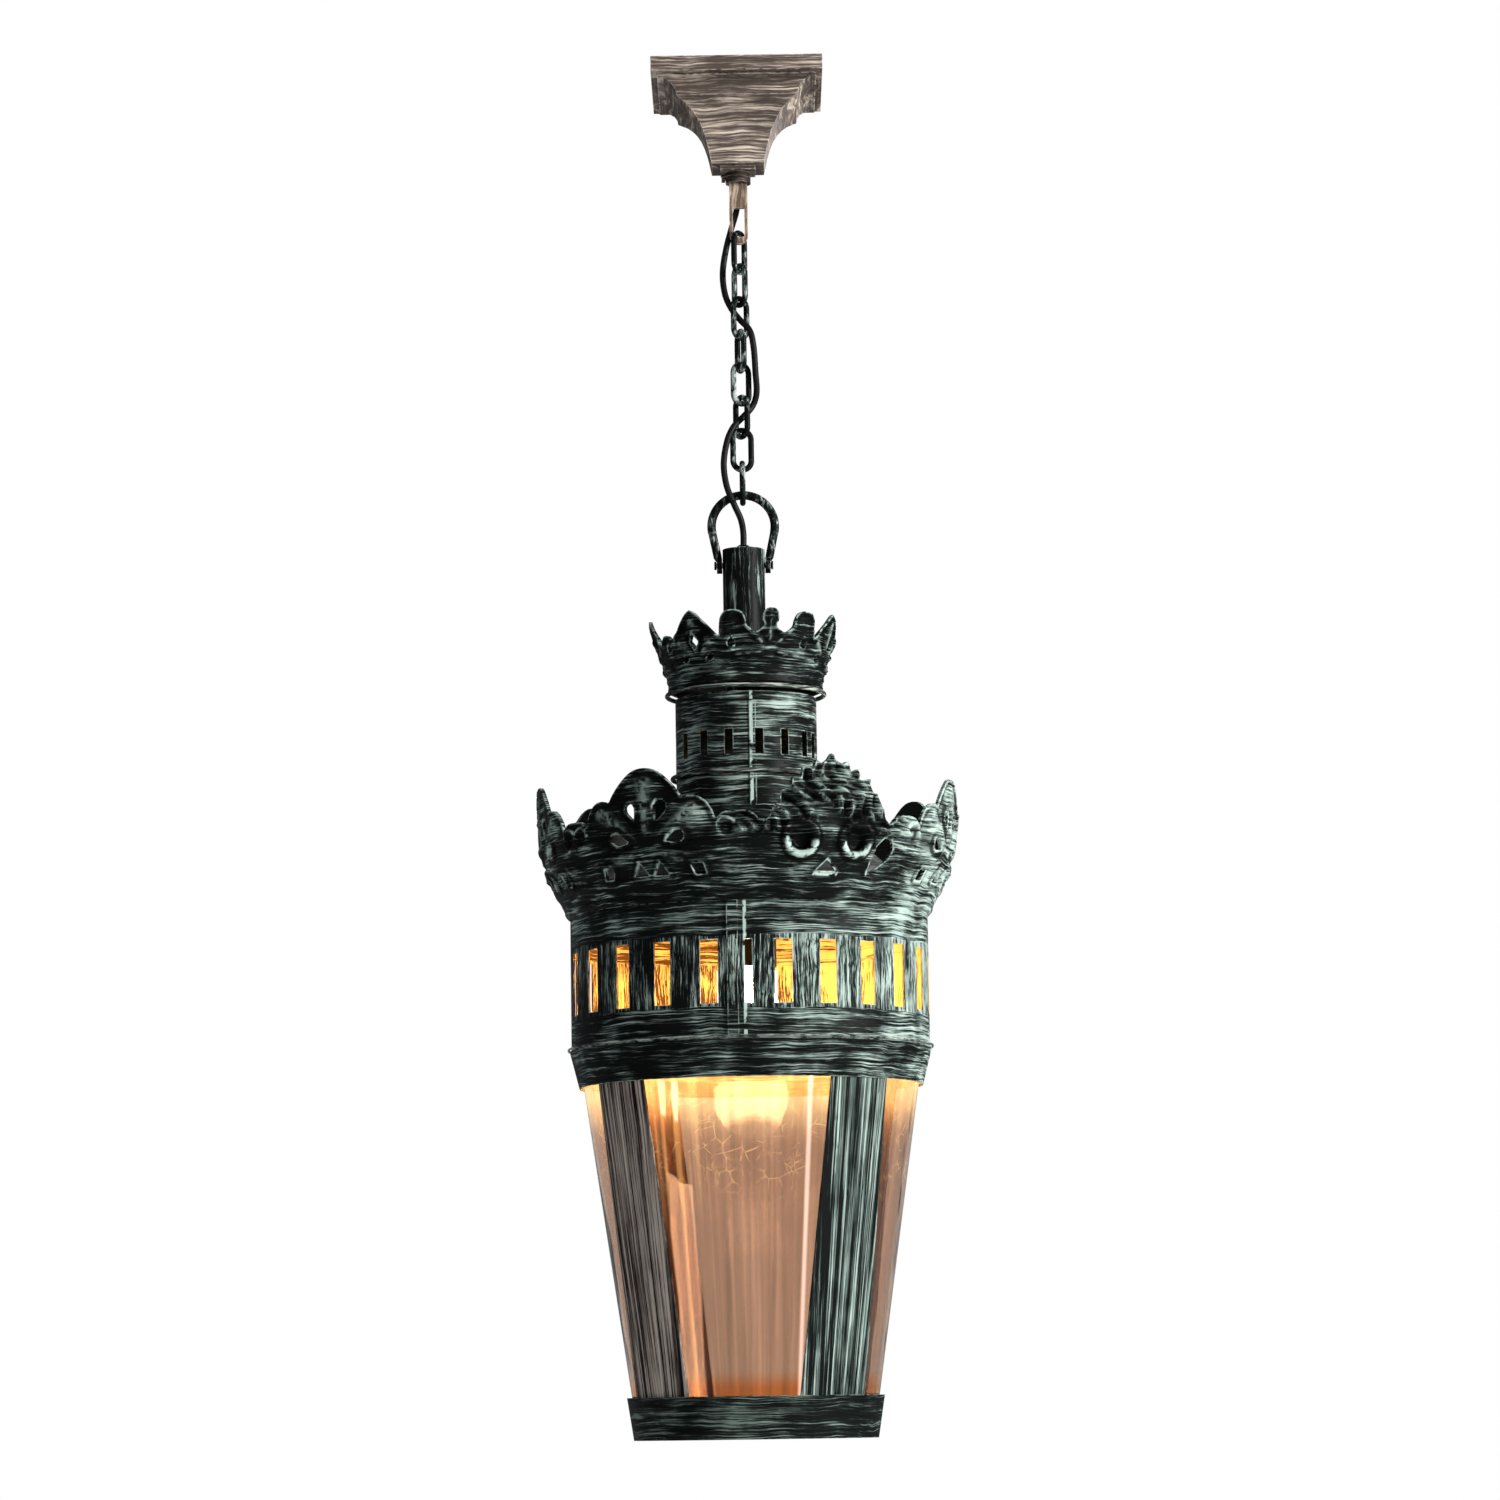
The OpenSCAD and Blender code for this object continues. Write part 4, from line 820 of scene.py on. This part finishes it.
# The glass is one blown cone with an amber tint and smoky upright lines. It stands on the ledge, behind the
# straps. Its glow is painted light from the bulb: dust and scratches near its top, golden streaks at the left
# and a painted highlight line at the right. Its tint is made paler at the top, painted light too.
glass, glass_tree, glass_shader = plain_finish("amber_glass", (0.68, 0.50, 0.39), 0.03)
glass_shader.inputs["Transmission Weight"].default_value = 1.0
glass_shader.inputs["IOR"].default_value = 1.45
glass_low, glass_high = (corner.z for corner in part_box("glass_cone"))
glass_place = add_node(glass_tree, "ShaderNodeTexCoord").outputs["Object"]
glass_drawn = vector_step(glass_tree, "MULTIPLY", glass_place, (30, 30, 9))
bump_up(glass_tree, glass_shader, blotches(glass_tree, glass_drawn, 1.0, 2.0), 0.35, 0.0015)

glass_spot = add_node(glass_tree, "ShaderNodeSeparateXYZ", {0: glass_place})
glass_level = glass_spot.outputs["Z"]
to_front = reckon(glass_tree, "MULTIPLY", glass_spot.outputs["Y"], -1.0)
glass_bearing = reckon(glass_tree, "ARCTAN2", glass_spot.outputs["X"], to_front)
# The tint is orange-brown at the foot, a stain, and pale gold at the top, painted light from the bulb.
tint_and_painted_top_glow = tone_ramp(glass_tree, spread(glass_tree, glass_level, glass_low, glass_high),
                       (0.05, (0.66, 0.35, 0.17)), (0.10, (0.66, 0.49, 0.385)), (0.80, (0.68, 0.50, 0.39)),
                       (0.95, (0.95, 0.77, 0.55)))
smoke_across = reckon(glass_tree, "MULTIPLY", glass_bearing, 22.0)
smoke_down = reckon(glass_tree, "MULTIPLY", glass_level, 5.0)
smoke_place = add_node(glass_tree, "ShaderNodeCombineXYZ", {0: smoke_across, 2: smoke_down})
smoke = blotches(glass_tree, smoke_place.outputs[0], 1.0, 3.0)
smoked = dimmed(glass_tree, tint_and_painted_top_glow, spread(glass_tree, smoke, 0.35, 0.65, 0.82, 1.08))
glass_tree.links.new(smoked, glass_shader.inputs["Base Color"])

# Painted light: the glass's emission stands in for the bulb's light on dust and scratches near its top.
dust_foot, dust_top = glass_high - 0.068, glass_high - 0.022
scratch_foot, scratch_top = glass_high - 0.11, glass_high - 0.06
dust = blotches(glass_tree, glass_place, 60.0, 5.0, 0.7)
painted_glow_fade = spread(glass_tree, glass_level, dust_foot, dust_top)
painted_dust_glow = reckon(glass_tree, "MULTIPLY", reckon(glass_tree, "POWER", painted_glow_fade, 3.2),
                   spread(glass_tree, dust, 0.40, 0.62, 0.55, 1.0))
cracks = add_node(glass_tree, "ShaderNodeTexVoronoi", {"Vector": glass_place, "Scale": 95.0},
                  feature="DISTANCE_TO_EDGE")
painted_scratch_glow = reckon(glass_tree, "MULTIPLY", spread(glass_tree, cracks.outputs["Distance"], 0.035, 0.008),
                   spread(glass_tree, dust, 0.50, 0.62))
painted_scratch_glow = reckon(glass_tree, "MULTIPLY", painted_scratch_glow,
                   spread(glass_tree, glass_level, scratch_foot, scratch_top))
painted_top_glow = reckon(glass_tree, "MULTIPLY", reckon(glass_tree, "ADD", painted_scratch_glow, painted_dust_glow), 0.30)

gold_left, gold_right = (-0.78, -0.66), (-0.27, -0.40)
painted_gold_zone = reckon(glass_tree, "MULTIPLY", spread(glass_tree, glass_bearing, *gold_left),
                   spread(glass_tree, glass_bearing, *gold_right))
painted_gold_streaks = spread(glass_tree, smoke, 0.50, 0.62, 0.0, 0.16)
painted_gold_glow = reckon(glass_tree, "MULTIPLY_ADD", painted_gold_zone, painted_gold_streaks, painted_top_glow)

# A painted highlight: a thin pink-white glowing line down the glass at the right.
highlight_bearing, highlight_half, highlight_core = 0.356, 0.022, 0.006
from_highlight = reckon(glass_tree, "ABSOLUTE", reckon(glass_tree, "SUBTRACT", glass_bearing, highlight_bearing))
painted_highlight = spread(glass_tree, from_highlight, highlight_half, highlight_core, 0.0, 0.42)
highlight_share = spread(glass_tree, painted_highlight, 0.0, 0.2)
painted_glow_color = mixed(glass_tree, highlight_share, (1.0, 0.64, 0.24, 1), (1.0, 0.74, 0.66, 1))
all_painted_glow = reckon(glass_tree, "ADD", painted_highlight, painted_gold_glow)
glass_tree.links.new(painted_glow_color, glass_shader.inputs["Emission Color"])
glass_tree.links.new(all_painted_glow, glass_shader.inputs["Emission Strength"])
paint_nodes(glass, "glass_cone")


# The lamp: a black moulded lampholder on the centre tube, and a frosted bulb that glows warm white, the most
# above its lower end.
holder_plastic, holder_tree, holder_shader = plain_finish("holder_black", (0.008, 0.006, 0.005), 0.5)
holder_shader.inputs["Specular IOR Level"].default_value = 0.15
faint_bump(holder_tree, holder_shader, 350, 2, 0.1, 0.0002)
paint_nodes(holder_plastic, "holder_cap", "holder_shell")

bulb_glass, bulb_tree, bulb_shader = plain_finish("bulb_warm", (1.0, 0.90, 0.74), 0.35)
bulb_shader.inputs["Emission Color"].default_value = (1.0, 0.81, 0.56, 1)
bulb_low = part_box("bulb")[0].z
dim_level, bright_level = bulb_low + 0.006, bulb_low + 0.024
bulb_place = add_node(bulb_tree, "ShaderNodeTexCoord")
bulb_glow = spread(bulb_tree, axis_of(bulb_tree, bulb_place.outputs["Object"], "Z"),
                   dim_level, bright_level, 2.4, 75.0)
bulb_tree.links.new(bulb_glow, bulb_shader.inputs["Emission Strength"])
faint_bump(bulb_tree, bulb_shader, 120, 1, 0.05, 0.0004)
paint_nodes(bulb_glass, "bulb")
